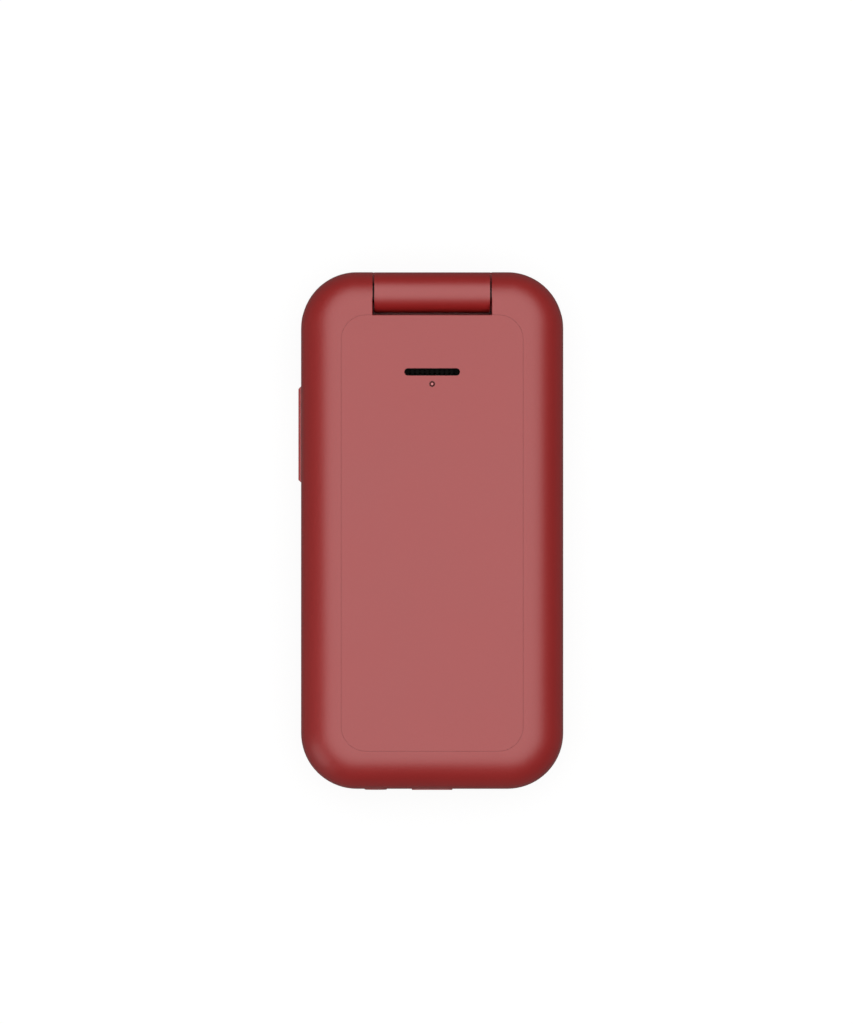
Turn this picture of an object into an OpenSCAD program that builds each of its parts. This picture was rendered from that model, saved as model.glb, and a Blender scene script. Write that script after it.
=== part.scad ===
// Clamshell mobile phone, closed and lying on its back.
// X runs across the phone, Y from the free end to the hinge end, and Z from the back up through the lid.
// The origin is the middle of the back face. All sizes are in millimetres.

/* [Outline] */
// Width across the closed phone
body_w = 53.5; // [52.5:0.1:56]
// Length from the free end to the hinge end
body_l = 105.4; // [104:0.2:110]
// Radius of the corners seen from the front
corner_r = 11.4; // [10.4:0.1:12.4]
// Wall of the moulded shells
wall = 1.2; // [1:0.05:1.3]
// Radius that softens the edges where the closed halves meet
parting_r = 0.4; // [0.2:0.05:0.6]
// Gap between the closed halves
parting_gap = 0.3; // [0.25:0.05:0.5]

/* [Lid edges] */
// How far the front face curves in from the sides and the free end
lid_blend_w = 7.6; // [7:0.1:8]
// How far it falls over that width
lid_blend_h = 6.2; // [6:0.05:6.3]
// Tight radius where the curve meets the side wall
lid_tight_r = 4.4; // [4:0.1:4.8]
// Forward lean of the hinge end, per unit of height, which shortens the curve over the hinge
nose_lean = 0.25; // [0.2:0.01:0.27]

/* [Base edges] */
// How far the back face curves in from the edge
base_blend_w = 4.5; // [3.8:0.1:5.5]
// How far it rises over that width
base_blend_h = 2.5; // [2.4:0.05:2.8]
// Tight radius where the curve meets the side wall
base_tight_r = 1.5; // [1.4:0.05:1.8]

/* [Hinge] */
// Radius of the lid's knuckles
knuckle_r = 4.3; // [4.1:0.05:4.4]
// How much smaller the base's barrel is
barrel_inset = 0.05; // [0.03:0.01:0.15]
// How far the barrel's own middle lies behind the hinge axis
barrel_shift = 0.15; // [0:0.01:0.2]
// Length of the barrel between the knuckles
barrel_w = 23.6; // [22.6:0.2:25]
// Gap between the barrel and the notch of the lid, at each side
notch_gap = 0.35; // [0.2:0.05:0.5]
// Gap between the barrel and the notch of the lid, in front
front_gap = 0.65; // [0.6:0.05:0.8]
// Gap under the knuckles, in the trough of the base
trough_gap = 0.2; // [0.15:0.05:0.3]
// Chamfer on the edges of the notch and the barrel
notch_chamfer = 0.1; // [0.1:0.05:0.3]
// Radius of the spring capsule
capsule_r = 2.6; // [2.4:0.05:2.8]
// Length of the barrel that takes the roll of the cable
roll_room = 4.2; // [3.6:0.1:4.6]
// Wall between the spring capsule and the cable
barrel_web = 0.8; // [0.6:0.05:1]
// Radius of the cam's shaft, which turns in the capsule
cam_shaft_r = 1.5; // [1.3:0.05:1.7]
// Length of the cam's shaft inside the capsule
cam_shaft_l = 4; // [3:0.5:6]
// Radius of the cam's head, which the lid holds by two flats
cam_head_r = 2.1; // [1.9:0.05:2.3]
// Length of the cam's head inside the knuckle
cam_head_l = 4.5; // [3.5:0.5:6]
// Outer radius of the hollow sleeve that the cable passes through
sleeve_r = 2.3; // [2.1:0.05:2.6]
// Bore radius of the hollow sleeve
sleeve_bore_r = 1.7; // [1.4:0.05:1.8]
// Length of the sleeve inside the barrel
sleeve_in = 3; // [2:0.5:4]
// Length of the sleeve inside the knuckle
sleeve_out = 3.6; // [3:0.1:4.5]
// Running clearance of the turning pieces, on the radius
run_fit = 0.05; // [0.03:0.01:0.08]

/* [Lid panel] */
// Distance from the start of the curved edge to the inset panel, at each side
panel_margin = 0.65; // [0.2:0.05:1.5]
// Distance from the free end to the panel
panel_end = 7.8; // [7:0.1:9]
// Corner radius of the panel
panel_r = 5; // [4:0.1:6]
// Thickness of the panel
panel_t = 0.8; // [0.6:0.05:1]
// Seam between the panel and the lid, at each side
panel_seam = 0.04; // [0.03:0.01:0.1]
// Length of the sound slot
slot_l = 11.35; // [9:0.05:13]
// Width of the sound slot
slot_w = 1.5; // [1.2:0.05:1.8]
// Distance from the panel's hinge end to the middle of the slot
slot_in = 11.6; // [10.5:0.1:13]
// Distance between the slot and the status light
light_drop = 2.45; // [2.2:0.05:2.8]
// Radius of the dimple round the status light
dimple_r = 0.62; // [0.55:0.01:0.8]
// Radius of the light pipe's tip
light_r = 0.4; // [0.3:0.01:0.5]

/* [Lid stack] */
// Thickness of the display bezel's plate
bezel_t = 1.2; // [1.1:0.05:1.4]
// Height of the bezel's side wall
bezel_wall_h = 1.8; // [1.6:0.05:2.2]
// Thickness of the display module
display_t = 2.2; // [2:0.05:2.6]
// Sheet thickness of the display frame
frame_t = 0.3; // [0.2:0.05:0.4]
// Gap between the display frame and the lid's board
lid_board_gap = 0.2; // [0.1:0.05:0.4]
// Thickness of the lid's board
lid_board_t = 0.6; // [0.5:0.05:0.8]
// Room for parts above the lid's board
lid_room = 2; // [1.9:0.05:2.4]
// Thickness of the lid under the inset panel
ceiling_t = 0.9; // [0.8:0.05:1.1]

/* [Display] */
// Distance from the side to the display window
window_side = 3.55; // [3.3:0.05:4.5]
// Distance from the status light to the display window
window_head = 4.05; // [3:0.05:6]
// Corner radius of the window
window_r = 2; // [1.5:0.1:3]
// Thickness of the window
window_t = 0.8; // [0.7:0.05:0.9]
// Distance from the free end to the window
window_in = 12.5; // [12:0.1:14]
// Width of the ledge that the window is glued to
window_ledge = 1.3; // [1:0.1:1.6]
// How much narrower and shorter the display module is than the window
display_less = 0.8; // [0.6:0.1:1.2]
// Length of the earpiece slot
ear_slot_l = 9; // [7:0.5:10]
// Width of the earpiece slot
ear_slot_w = 1.5; // [1.2:0.1:1.8]
// Distance from the free end to the earpiece slot
ear_in = 6.3; // [6:0.1:7]

/* [Base stack] */
// Thickness of the battery cover
cover_t = 1; // [0.9:0.05:1.1]
// Gap between the battery cover and the housing
cover_gap = 0.15; // [0.1:0.01:0.2]
// Gap round the battery
battery_gap = 0.15; // [0.1:0.01:0.25]
// Thickness of the battery
battery_t = 3.7; // [3.5:0.1:4.5]
// Distance from the side to the battery
battery_side = 6.75; // [6.5:0.05:9]
// Distance from the battery to the fixed strip of the back
battery_head = 22.15; // [20:0.05:26]
// Thickness of the floor between the battery and the main board
floor_t = 1.3; // [1.2:0.05:1.6]
// Thickness of the main board
board_t = 0.8; // [0.6:0.05:1]
// Height of the housing wall above the main board
seam_rise = 0.5; // [0.4:0.05:0.6]
// Thickness of the film that carries the key domes
film_t = 0.1; // [0.08:0.01:0.15]
// Height of the key domes
dome_h = 0.25; // [0.2:0.01:0.3]
// Radius of the key domes
dome_r = 2.2; // [1.8:0.1:2.6]
// Thickness of the rubber keymat
mat_t = 0.3; // [0.25:0.01:0.4]
// Travel of a key
key_travel = 0.3; // [0.2:0.01:0.35]
// Thickness of the flange that keeps a key under the deck
flange_t = 0.35; // [0.3:0.01:0.45]
// Thickness of the deck that the keys come through
deck_t = 0.9; // [0.8:0.05:1.2]
// Depth of the keypad's recess below the rim
recess_d = 0.6; // [0.5:0.05:0.7]
// Width of the rim round the recess
rim_w = 3; // [2.6:0.1:3.2]

/* [Keys] */
// Distance from the side to the number keys
keypad_side = 3.95; // [3.8:0.05:6]
// Distance from the free end to the number keys
keypad_end = 12.1; // [11.6:0.1:15]
// Strip between two number keys
key_strip = 1.2; // [1.1:0.05:1.5]
// Corner radius of the keys
key_r = 1.6; // [1:0.1:2.5]
// Gap round a key in the deck
key_gap = 0.15; // [0.1:0.01:0.2]
// How far a key's flange reaches under the deck
key_lip = 0.4; // [0.3:0.01:0.45]
// How far the keys stay below the rim
key_below = 0.1; // [0.05:0.01:0.2]
// Radius of the crown across the top of a key
crown_r = 100; // [80:5:200]
// Radius that rounds the top edges of the ring key and the round key
ring_edge_r = 0.35; // [0.2:0.05:0.45]
// How far the round key is dished
dish_d = 0.2; // [0.1:0.05:0.3]
// Outer radius of the ring key
ring_r = 10; // [9:0.1:10.4]
// Outer radius of the round key in the ring
ok_r = 4.4; // [4:0.1:5]
// Gap between the round key and the ring
ok_gap = 0.2; // [0.15:0.01:0.3]
// Distance from the recess's hinge end to the ring key
ring_in = 6.4; // [6:0.1:8]
// Distance between the ring key and the number keys
ring_strip = 1.9; // [1.5:0.1:3]
// Distance from the side to the function keys beside the ring
side_key_side = 3.65; // [3.6:0.05:5]
// Length of the function keys beside the ring
side_key_l = 9.4; // [8:0.1:9.6]
// Strip between the two function keys of a side
side_key_strip = 1.4; // [1.2:0.1:2]
// Distance between the ring and the function keys
side_key_in = 2.7; // [2.4:0.1:3]

/* [Side key] */
// Length of the volume key
volume_l = 19.6; // [17:0.1:21]
// Height of the volume key
volume_h = 2.6; // [2.2:0.05:2.7]
// Distance from the hinge end to the middle of the volume key
volume_in = 33.05; // [31:0.05:36]
// How far the volume key stands out of the side
volume_out = 0.6; // [0.45:0.01:0.65]
// Bevel along the volume key's upper and lower outer edges
volume_edge = 0.22; // [0.1:0.01:0.3]
// Gap round the volume key
volume_gap = 0.12; // [0.1:0.01:0.2]
// Distance from the volume key's middle to each switch
switch_y = 6; // [5:0.1:7]

/* [Sockets] */
// Radius of the audio plug's bore
jack_bore_r = 1.8; // [1.75:0.01:1.85]
// Outer radius of the audio socket's ring
jack_ring_r = 2.3; // [2.2:0.01:2.32]
// Depth of the audio socket's bore
jack_depth = 13.4; // [12.5:0.1:13.6]
// Distance of the audio socket from the left side
jack_in = 15.2; // [14.6:0.05:16]
// Wall behind the audio socket's bore
jack_back = 0.6; // [0.5:0.05:1]
// Room between the audio socket and the battery bay
jack_room = 1.2; // [0.8:0.1:2]
// How far the ring stands out of the free end
jack_out = 0.32; // [0.2:0.01:0.4]
// Width inside the charging socket
usb_w = 6.9; // [6.8:0.05:7.2]
// Height inside the charging socket
usb_h = 1.9; // [1.8:0.05:2]
// Sheet thickness of the charging socket
usb_t = 0.35; // [0.3:0.01:0.4]
// How far its lip is flared, at each side
usb_flare = 0.35; // [0.25:0.01:0.4]
// Depth of the charging socket
usb_depth = 5.6; // [5:0.1:6]
// How far the lip stands out of the free end
usb_out = 0.35; // [0.25:0.01:0.45]

/* [Camera] */
// Length of the fixed strip of the back that holds the camera
camera_strip = 13; // [12.6:0.1:13.4]
// Radius of the camera window
camera_r = 3; // [2.6:0.1:3.2]
// Thickness of the camera window
camera_t = 0.8; // [0.6:0.05:1]
// Side of the square camera module
camera_side = 7.2; // [6.6:0.1:7.4]
// Distance between the camera and the torch
torch_x = 8.5; // [7.5:0.1:10]
// Radius of the torch lens
torch_r = 1.5; // [1.2:0.1:2]

/* [Fasteners] */
// Distance of the screws from the side and from the free end
screw_in = 7.35; // [7.2:0.05:7.8]
// Distance of the hinge-end screws from the lid's notch
screw_notch = 6.5; // [6.2:0.1:7]
// Shank radius of the screws
screw_r = 0.7; // [0.6:0.01:0.8]
// Head radius of the screws
screw_head_r = 1.4; // [1.2:0.05:1.5]
// Head thickness of the screws
screw_head_t = 0.35; // [0.3:0.01:0.4]
// Outer radius of the screw bosses
boss_r = 1.9; // [1.7:0.05:2]
// Thickness of the caps over the lid's screws
cap_t = 0.4; // [0.3:0.01:0.45]
// Radius of the rubber bumpers
bumper_r = 1; // [0.8:0.05:1.1]

/* [Hidden] */
$fn = 96;

// Small clearances that every fit shares
touch = 0.05;
slack = 0.1;
// Clearance of a piece that is pressed into its seat
seat_fit = 0.02;
// Length that carries a cut past the surface it opens
past = 1;
// Length that carries a form past the end that another form shapes
overrun = 40;

// Heights in the base, from the back up
battery_z = cover_t + battery_gap;
floor_z = battery_z + battery_t + battery_gap;
board_z = floor_z + floor_t;
film_z = board_z + board_t;
seam_z = film_z + seam_rise;
mat_z = film_z + film_t + dome_h + touch;
flange_z = mat_z + mat_t + key_travel + slack;
deck_z = flange_z + flange_t + touch;
recess_z = deck_z + deck_t;
base_top = recess_z + recess_d;
key_top = base_top - key_below;
cover_rim = base_blend_h;

// Heights in the lid, from its inner face up
lid_z = base_top + parting_gap;
bezel_z = lid_z + bezel_t;
lid_seam = lid_z + bezel_wall_h;
frame_z = bezel_z + display_t;
lid_board_z = frame_z + frame_t + lid_board_gap;
lid_parts_z = lid_board_z + lid_board_t;
ceiling_z = lid_parts_z + lid_room;
panel_z = ceiling_z + ceiling_t;
lid_top = panel_z + panel_t;

// Places along the phone
end_y = body_l / 2;
hinge_y = end_y - knuckle_r;
hinge_z = lid_top - knuckle_r;
barrel_r = knuckle_r - barrel_inset - barrel_shift;
barrel_y = hinge_y + barrel_shift;
barrel_front = barrel_y - barrel_r;
notch_y = barrel_front - front_gap + slack;
barrel_x = barrel_w / 2;
notch_x = barrel_x + notch_gap;
half_w = body_w / 2;
corner_x = half_w - corner_r;
cover_y = end_y - camera_strip;
lean_room = 1.5;
lean_y = end_y - corner_r - lean_room;
panel_y0 = panel_end - end_y;
panel_w = body_w - 2 * (lid_blend_w + panel_margin);
panel_l = notch_y - panel_y0;
slot_y = notch_y - slot_in;
light_y = slot_y - light_drop;
window_w = body_w - 2 * window_side;
window_y0 = window_in - end_y;
window_y1 = light_y - window_head;
window_l = window_y1 - window_y0;
window_y = (window_y0 + window_y1) / 2;

// Screws, the same in both halves
screw_x = half_w - screw_in;
screw_y0 = screw_in - end_y;
screw_y1 = notch_y - screw_notch;
screw_hole_r = screw_r + seat_fit;
screw_pass_r = screw_r + 0.15;

// Screw with its head's underside at the origin and its shank upwards, with a round dimple in the head
module screw(length)
{
    difference()
    {
        translate([0, 0, -screw_head_t])
            cylinder(r = screw_head_r, h = screw_head_t);
        translate([0, 0, -screw_head_t - touch])
            cylinder(r = screw_head_r * 0.45, h = screw_head_t * 0.6);
    }
    cylinder(r = screw_r, h = length);
}

module at_screws()
{
    for (x = [-screw_x, screw_x], y = [screw_y0, screw_y1])
        translate([x, y, 0])
            children();
}

// Rectangle with round corners, about its middle
module round_rect(w, l, r)
{
    square([w - 2 * r, l], center = true);
    square([w, l - 2 * r], center = true);
    for (x = [-1, 1], y = [-1, 1])
        translate([x * (w / 2 - r), y * (l / 2 - r)])
            circle(r);
}

// Plate with round corners between two heights
module plate(w, l, r, z0, z1)
{
    translate([0, 0, z0])
        linear_extrude(z1 - z0)
            round_rect(w, l, r);
}

// Box between two opposite corners
module box(low, high)
{
    translate(low)
        cube(high - low);
}

// Cylinder along X from x0 to x1 on the hinge axis
module on_hinge(r, x0, x1)
{
    translate([x0, hinge_y, hinge_z])
        rotate([0, 90, 0])
            cylinder(r = r, h = x1 - x0);
}

// Radius of the wide arc that is tangent to a flat face and to a tight arc of radius r at the wall
function wide_r(w, h, r) = ((w - r) * (w - r) + h * h - r * r) / (2 * (h - r));

// Section of a shell's edge, outwards from a corner's axis: a wall from bottom_z, softened by soft, that
// curves into the face at top_z over w and h. inset moves the face and the wall inwards.
module edge_section(top_z, bottom_z, w, h, r, soft, inset)
{
    big = wide_r(w, h, r);
    lean = atan2(w - r, big - h);
    meet_u = corner_r - w + (big - inset) * sin(lean);
    start_z = top_z - h;
    wall_u = corner_r - inset;
    translate([0, start_z])
        square([corner_r - w, h - inset]);
    intersection()
    {
        union()
        {
            translate([corner_r - r, start_z])
                circle(r - inset);
            intersection()
            {
                translate([corner_r - w, top_z - big])
                    circle(big - inset);
                translate([0, start_z])
                    square([meet_u, h]);
            }
        }
        translate([0, start_z])
            square([corner_r, h]);
    }
    translate([0, bottom_z + soft])
        square([wall_u, start_z - bottom_z - soft]);
    if (soft > 0)
    {
        translate([0, bottom_z])
            square([wall_u - soft, 2 * soft]);
        translate([wall_u - soft, bottom_z + soft])
            circle(soft);
    }
}

// Form with the plan of the phone from y0 to y1, whose edge has the section given as its child
module form(y0, y1, z0, z1)
{
    run = y1 - y0 - 2 * corner_r;
    box([-corner_x, y0 + corner_r, z0], [corner_x, y1 - corner_r, z1]);
    translate([-corner_x, y1 - corner_r, 0])
        rotate([90, 0, 90])
            linear_extrude(2 * corner_x)
                children();
    translate([corner_x, y0 + corner_r, 0])
        rotate([90, 0, -90])
            linear_extrude(2 * corner_x)
                children();
    for (side = [0, 1])
        mirror([side, 0, 0])
        {
            translate([corner_x, y1 - corner_r, 0])
                rotate([90, 0, 0])
                    linear_extrude(run)
                        children();
            translate([corner_x, y1 - corner_r, 0])
                rotate_extrude(angle = 90)
                    children();
            translate([corner_x, y0 + corner_r, 0])
                rotate([0, 0, -90])
                    rotate_extrude(angle = 90)
                        children();
        }
}

// Plain prism with the plan of the phone, its walls moved inwards by inset
module plan_prism(inset, z0, z1)
{
    plate(body_w - 2 * inset, body_l - 2 * inset, corner_r - inset, z0, z1);
}

// Sides and free end of the lid, with the face curving down to them
module lid_sides(inset, bottom_z, soft)
{
    form(-end_y, end_y + overrun, bottom_z, lid_top - inset)
        edge_section(lid_top, bottom_z, lid_blend_w, lid_blend_h, lid_tight_r, soft, inset);
}

// Hinge end of the lid: the same form turned round, whose upper part leans forward over the hinge. The lean
// bulges a little past the wall, and the form moves back by as much.
module lid_nose(bottom_z, soft)
{
    wall_z = lid_top - lid_blend_h;
    bulge = lid_tight_r * (sqrt(1 + nose_lean * nose_lean) - 1);
    intersection()
    {
        multmatrix([
            [1, 0, 0, 0],
            [0, 1, nose_lean, -nose_lean * wall_z - bulge],
            [0, 0, 1, 0]
        ])
            form(-end_y - overrun, end_y, bottom_z, lid_top)
                edge_section(lid_top, bottom_z, lid_blend_w, lid_blend_h, lid_tight_r, soft, 0);
        box([-body_w, lean_y, bottom_z - past], [body_w, end_y + past, lid_top + past]);
    }
}

// Outer form of the lid: the closed half from its inner face up, with the knuckles just below that face
module lid_form()
{
    intersection()
    {
        lid_sides(0, lid_z, parting_r);
        box([-body_w, -body_l, lid_z - past], [body_w, lean_y, lid_top + past]);
    }
    difference()
    {
        lid_nose(lid_z, parting_r);
        box([-body_w, hinge_y, lid_z - 2 * past], [body_w, end_y + 2 * past, hinge_z]);
    }
    intersection()
    {
        on_hinge(knuckle_r, -half_w, half_w);
        lid_nose(hinge_z - knuckle_r - past, 0);
    }
}

// Form of the base below top_z, moved inwards by inset
module base_form(inset, top_z, soft)
{
    form(-end_y, end_y, inset, top_z)
        mirror([0, 1])
            edge_section(0, -top_z, base_blend_w, base_blend_h, base_tight_r, soft, inset);
}

// ---- Lid ----

chamfer_side = notch_chamfer * sqrt(2);

// Chamfer along the front edge of the notch, which is also the edge of the inset panel
module notch_front_chamfer()
{
    translate([0, notch_y, lid_top])
        rotate([45, 0, 0])
            cube([2 * notch_x, chamfer_side, chamfer_side], center = true);
}

// Everything that the notch takes out of the lid, with its chamfered edges
module notch()
{
    box([-notch_x, notch_y, lid_z - 2 * past], [notch_x, end_y + past, lid_top + past]);
    notch_front_chamfer();
    for (x = [-notch_x, notch_x])
        translate([x, notch_y + (end_y - notch_y) / 2, lid_top])
            rotate([0, 45, 0])
                cube([chamfer_side, end_y - notch_y, chamfer_side], center = true);
}

module panel_outline(grow)
{
    translate([0, panel_y0 + panel_l / 2])
        round_rect(panel_w + 2 * grow, panel_l + 2 * grow, panel_r + grow);
}

module sound_slot(z0, z1)
{
    translate([0, slot_y, 0])
        plate(slot_l, slot_w, slot_w / 2 - 0.01, z0, z1);
}

speaker_w = 19;
speaker_t = 3.5;
speaker_margin = 0.5;
fence_t = 0.8;
mesh_t = 0.3;
mesh_z = ceiling_z - mesh_t;
speaker_z1 = mesh_z - slack;
speaker_z0 = speaker_z1 - speaker_t;
speaker_y0 = light_y + light_r + speaker_margin + fence_t + slack;
speaker_y1 = notch_y - wall - speaker_margin;
speaker_l = speaker_y1 - speaker_y0;
speaker_y = (speaker_y0 + speaker_y1) / 2;

// Front cover of the lid, with the two knuckles of the hinge
module lid_cover() color("firebrick")
{
    inner_y = notch_y - wall;
    difference()
    {
        lid_form();
        // below the seam only the hinge end belongs to this cover
        box([-half_w - past, -end_y - past, lid_z - past], [half_w + past, notch_y, lid_seam]);
        intersection()
        {
            lid_sides(wall, lid_z - past, 0);
            box([-half_w, -end_y, lid_z - past], [half_w, inner_y, ceiling_z]);
        }
        notch();
        translate([0, 0, panel_z])
            linear_extrude(panel_t + past)
                panel_outline(panel_seam);
        sound_slot(ceiling_z - past, lid_top);
        translate([0, light_y, ceiling_z - past])
            cylinder(r = light_r + touch, h = lid_top);
        // socket of the cam's head, with its two flats
        intersection()
        {
            on_hinge(cam_head_r + touch, -notch_x - cam_head_l - slack, -notch_x + past);
            box([-half_w, 0, hinge_z - cam_flat - touch], [0, end_y, hinge_z + cam_flat + touch]);
        }
        // seat of the sleeve, and the way of the cable into the lid
        on_hinge(sleeve_r + seat_fit, notch_x - past, notch_x + sleeve_out);
        cable_way(inner_y - past, notch_x + sleeve_out);
    }
    // bosses for the lid's screws
    difference()
    {
        at_screws()
            translate([0, 0, bezel_z])
                cylinder(r = boss_r, h = ceiling_z - bezel_z + touch);
        at_screws()
            translate([0, 0, bezel_z - past])
                cylinder(r = screw_hole_r, h = lid_screw_l + past + slack);
    }
    // fence round the loudspeaker
    translate([0, speaker_y, 0])
        difference()
        {
            plate(speaker_w + 2 * (slack + fence_t), speaker_l + 2 * (slack + fence_t), 2.4,
                speaker_z0 + slack, ceiling_z + touch);
            plate(speaker_w + 2 * slack, speaker_l + 2 * slack, 1.6, speaker_z0 - past, ceiling_z + past);
            box([-slot_l, -speaker_l, mesh_z - touch], [slot_l, 0, ceiling_z]);
        }
}

// Inset decorative panel
module lid_panel() color("indianred")
    difference()
    {
        translate([0, 0, panel_z])
            linear_extrude(panel_t)
                panel_outline(0);
        notch_front_chamfer();
        sound_slot(panel_z - past, lid_top + past);
        translate([0, light_y, panel_z - past])
            cylinder(r = dimple_r, h = panel_t + 2 * past);
    }

// Inner cover of the lid, which frames the display
module display_bezel() color("firebrick")
    difference()
    {
        intersection()
        {
            form(-end_y, end_y, lid_z, lid_top)
                edge_section(lid_top, lid_z, lid_blend_w, lid_blend_h, lid_tight_r, parting_r, 0);
            box([-half_w, -end_y, lid_z], [half_w, notch_y, lid_seam]);
        }
        intersection()
        {
            plan_prism(wall, bezel_z, lid_seam + past);
            box([-half_w, -end_y, lid_z], [half_w, notch_y - wall, lid_top]);
        }
        translate([0, window_y, 0])
        {
            plate(window_w + 2 * touch, window_l + 2 * touch, window_r, lid_z - past, window_z1);
            plate(window_w - 2 * window_ledge, window_l - 2 * window_ledge, window_r,
                lid_z - past, bezel_z + past);
        }
        translate([0, ear_y, 0])
            plate(ear_slot_l, ear_slot_w, ear_slot_w / 2 - 0.01, lid_z - past, bezel_z + past);
        at_screws()
        {
            translate([0, 0, lid_z - past])
                cylinder(r = screw_head_r + slack, h = past + touch + cap_t + screw_head_t);
            translate([0, 0, lid_z])
                cylinder(r = screw_pass_r, h = bezel_t + past);
        }
        at_bumpers()
            translate([0, 0, lid_z - past])
                cylinder(r = bumper_r + touch, h = past + bumper_seat);
    }

window_z1 = lid_z + touch + window_t;

// Clear window over the display
module display_window() color([0.08, 0.08, 0.1])
    translate([0, window_y, 0])
        plate(window_w, window_l, window_r, lid_z + touch, window_z1);

// Display glass with its backlight
module display_module() color("dimgray")
    translate([0, window_y, 0])
    {
        plate(window_w - display_less, window_l - display_less, 0.5, bezel_z, frame_z - touch);
    }

// Sheet-metal frame that holds the display from behind
module display_frame() color("silver")
    translate([0, window_y, 0])
        difference()
        {
            grow = 2 * (slack + frame_t) - display_less;
            plate(window_w + grow, window_l + grow, 0.8, bezel_z + slack, frame_z + frame_t);
            plate(window_w + grow - 2 * frame_t, window_l + grow - 2 * frame_t, 0.5,
                bezel_z - past, frame_z);
            for (y = [-1, 0, 1])
                translate([0, y * window_l / 3.4, 0])
                    plate(window_w / 2, window_l / 6, 3, frame_z - past, frame_z + past);
        }

led_side = 1.2;
led_t = 0.4;
chip_side = 8;
chip_t = 0.9;
plug_w = 8;
plug_l = 3;
plug_t = 1;
lid_board_side = 2;
lid_board_end = 22;

// Board in the lid, with the status light, the driver chip and the display's plug
module lid_board() color("darkgreen")
{
    x1 = window_w / 2 - lid_board_side;
    y0 = window_y0 + lid_board_end;
    y1 = speaker_y0 - fence_t - 3 * slack;
    mid_y = (y0 + y1) / 2;
    box([-x1, y0, lid_board_z], [x1, y1, lid_parts_z]);
    box([-led_side / 2, light_y - led_side / 2, lid_parts_z],
        [led_side / 2, light_y + led_side / 2, lid_parts_z + led_t]);
    box([-chip_side / 2, mid_y - chip_side / 2, lid_parts_z],
        [chip_side / 2, mid_y + chip_side / 2, lid_parts_z + chip_t]);
    box([x1 - plug_w, y0 + plug_l, lid_parts_z], [x1 - plug_l, y0 + 2 * plug_l, lid_parts_z + plug_t]);
}

// Loudspeaker under the sound slot
module loudspeaker() color("dimgray")
    translate([0, speaker_y, 0])
    {
        plate(speaker_w, speaker_l, 1.5, speaker_z0, speaker_z1 - 0.7);
        plate(speaker_w - 1.6, speaker_l - 1.6, 1.2, speaker_z0, speaker_z1);
        plate(speaker_w - 8, speaker_l - 4, 1, speaker_z0 - 0.5, speaker_z1);
    }

// Perforated strip behind the sound slot
module speaker_mesh() color([0.1, 0.1, 0.1])
    translate([0, slot_y, 0])
        difference()
        {
            plate(slot_l + 1.2, slot_w + 1.2, 0.6, mesh_z, ceiling_z);
            for (i = [0 : floor(slot_l) - 2], row = [-1, 1])
                translate([i - (floor(slot_l) - 2) / 2, row * slot_w / 5, mesh_z - past])
                    cylinder(r = 0.22, h = mesh_t + 2 * past, $fn = 24);
        }

// Clear rod that brings the status light to the front
module status_light_pipe() color("whitesmoke")
    translate([0, light_y, 0])
    {
        translate([0, 0, lid_parts_z + led_t + touch])
            cylinder(r = 2 * light_r, h = ceiling_z - lid_parts_z - led_t - 2 * touch);
        translate([0, 0, lid_parts_z + led_t + touch])
            cylinder(r = light_r, h = lid_top - slack - lid_parts_z - led_t - touch);
    }

ear_y = ear_in - end_y;
ear_w = 12;
ear_l = 6;
ear_t = 2.2;

// Earpiece behind the slot over the display
module earpiece() color("dimgray")
    translate([0, ear_y, 0])
    {
        plate(ear_w, ear_l, 1, bezel_z + mesh_t, bezel_z + mesh_t + ear_t);
        plate(ear_w - 2, ear_l - 2, 0.8, bezel_z + mesh_t, bezel_z + mesh_t + ear_t + 0.3);
    }

// Perforated strip behind the earpiece slot
module earpiece_mesh() color([0.1, 0.1, 0.1])
    translate([0, ear_y, 0])
        difference()
        {
            plate(ear_slot_l + 1.2, ear_slot_w + 1.2, 0.6, bezel_z, bezel_z + mesh_t - touch);
            for (i = [0 : floor(ear_slot_l) - 2], row = [-1, 1])
                translate([i - (floor(ear_slot_l) - 2) / 2, row * ear_slot_w / 5, bezel_z - past])
                    cylinder(r = 0.22, h = mesh_t + 2 * past, $fn = 24);
        }

bumper_seat = 0.6;
bumper_u = corner_r - rim_w / 2;

module at_bumpers()
{
    for (x = [-1, 1])
        translate([x * (corner_x + bumper_u * sin(45)), -end_y + corner_r - bumper_u * sin(45), 0])
            children();
    for (x = [-1, 1])
        translate([x * (half_w - rim_w / 2), screw_y1, 0])
            children();
}

// Rubber dots that keep the closed halves apart
module lid_bumpers() color([0.12, 0.12, 0.12])
    at_bumpers()
        translate([0, 0, lid_z - parting_gap + touch])
            cylinder(r = bumper_r, h = parting_gap - touch + bumper_seat);

lid_screw_l = 3.6;

// Screws that hold the lid's two covers together
module lid_screws() color("silver")
    at_screws()
        translate([0, 0, lid_z + touch + cap_t + screw_head_t])
            screw(lid_screw_l);

// Caps over the lid's screws
module lid_screw_caps() color("firebrick")
    at_screws()
        translate([0, 0, lid_z + touch])
            cylinder(r = screw_head_r + touch, h = cap_t);

// Magnet that tells the base that the lid is closed
module lid_magnet() color("silver")
    translate([ear_w / 2 + magnet_w, ear_y, 0])
        plate(magnet_w, magnet_l, 0.3, bezel_z, bezel_z + magnet_t);

magnet_w = 5;
magnet_l = 3;
magnet_t = 1.5;

cam_flat = cam_head_r - 0.5;

// Cam of the hinge: its shaft turns in the capsule and its flats turn with the lid
module hinge_cam() color("silver")
{
    on_hinge(cam_shaft_r, -barrel_x + hinge_recess - cam_shaft_l, -barrel_x + cam_shaft_l);
    intersection()
    {
        on_hinge(cam_head_r, -notch_x - cam_head_l, -notch_x + notch_gap - slack);
        box([-half_w, 0, hinge_z - cam_flat], [0, end_y, hinge_z + cam_flat]);
    }
}

hinge_recess = 0.2;

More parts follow.
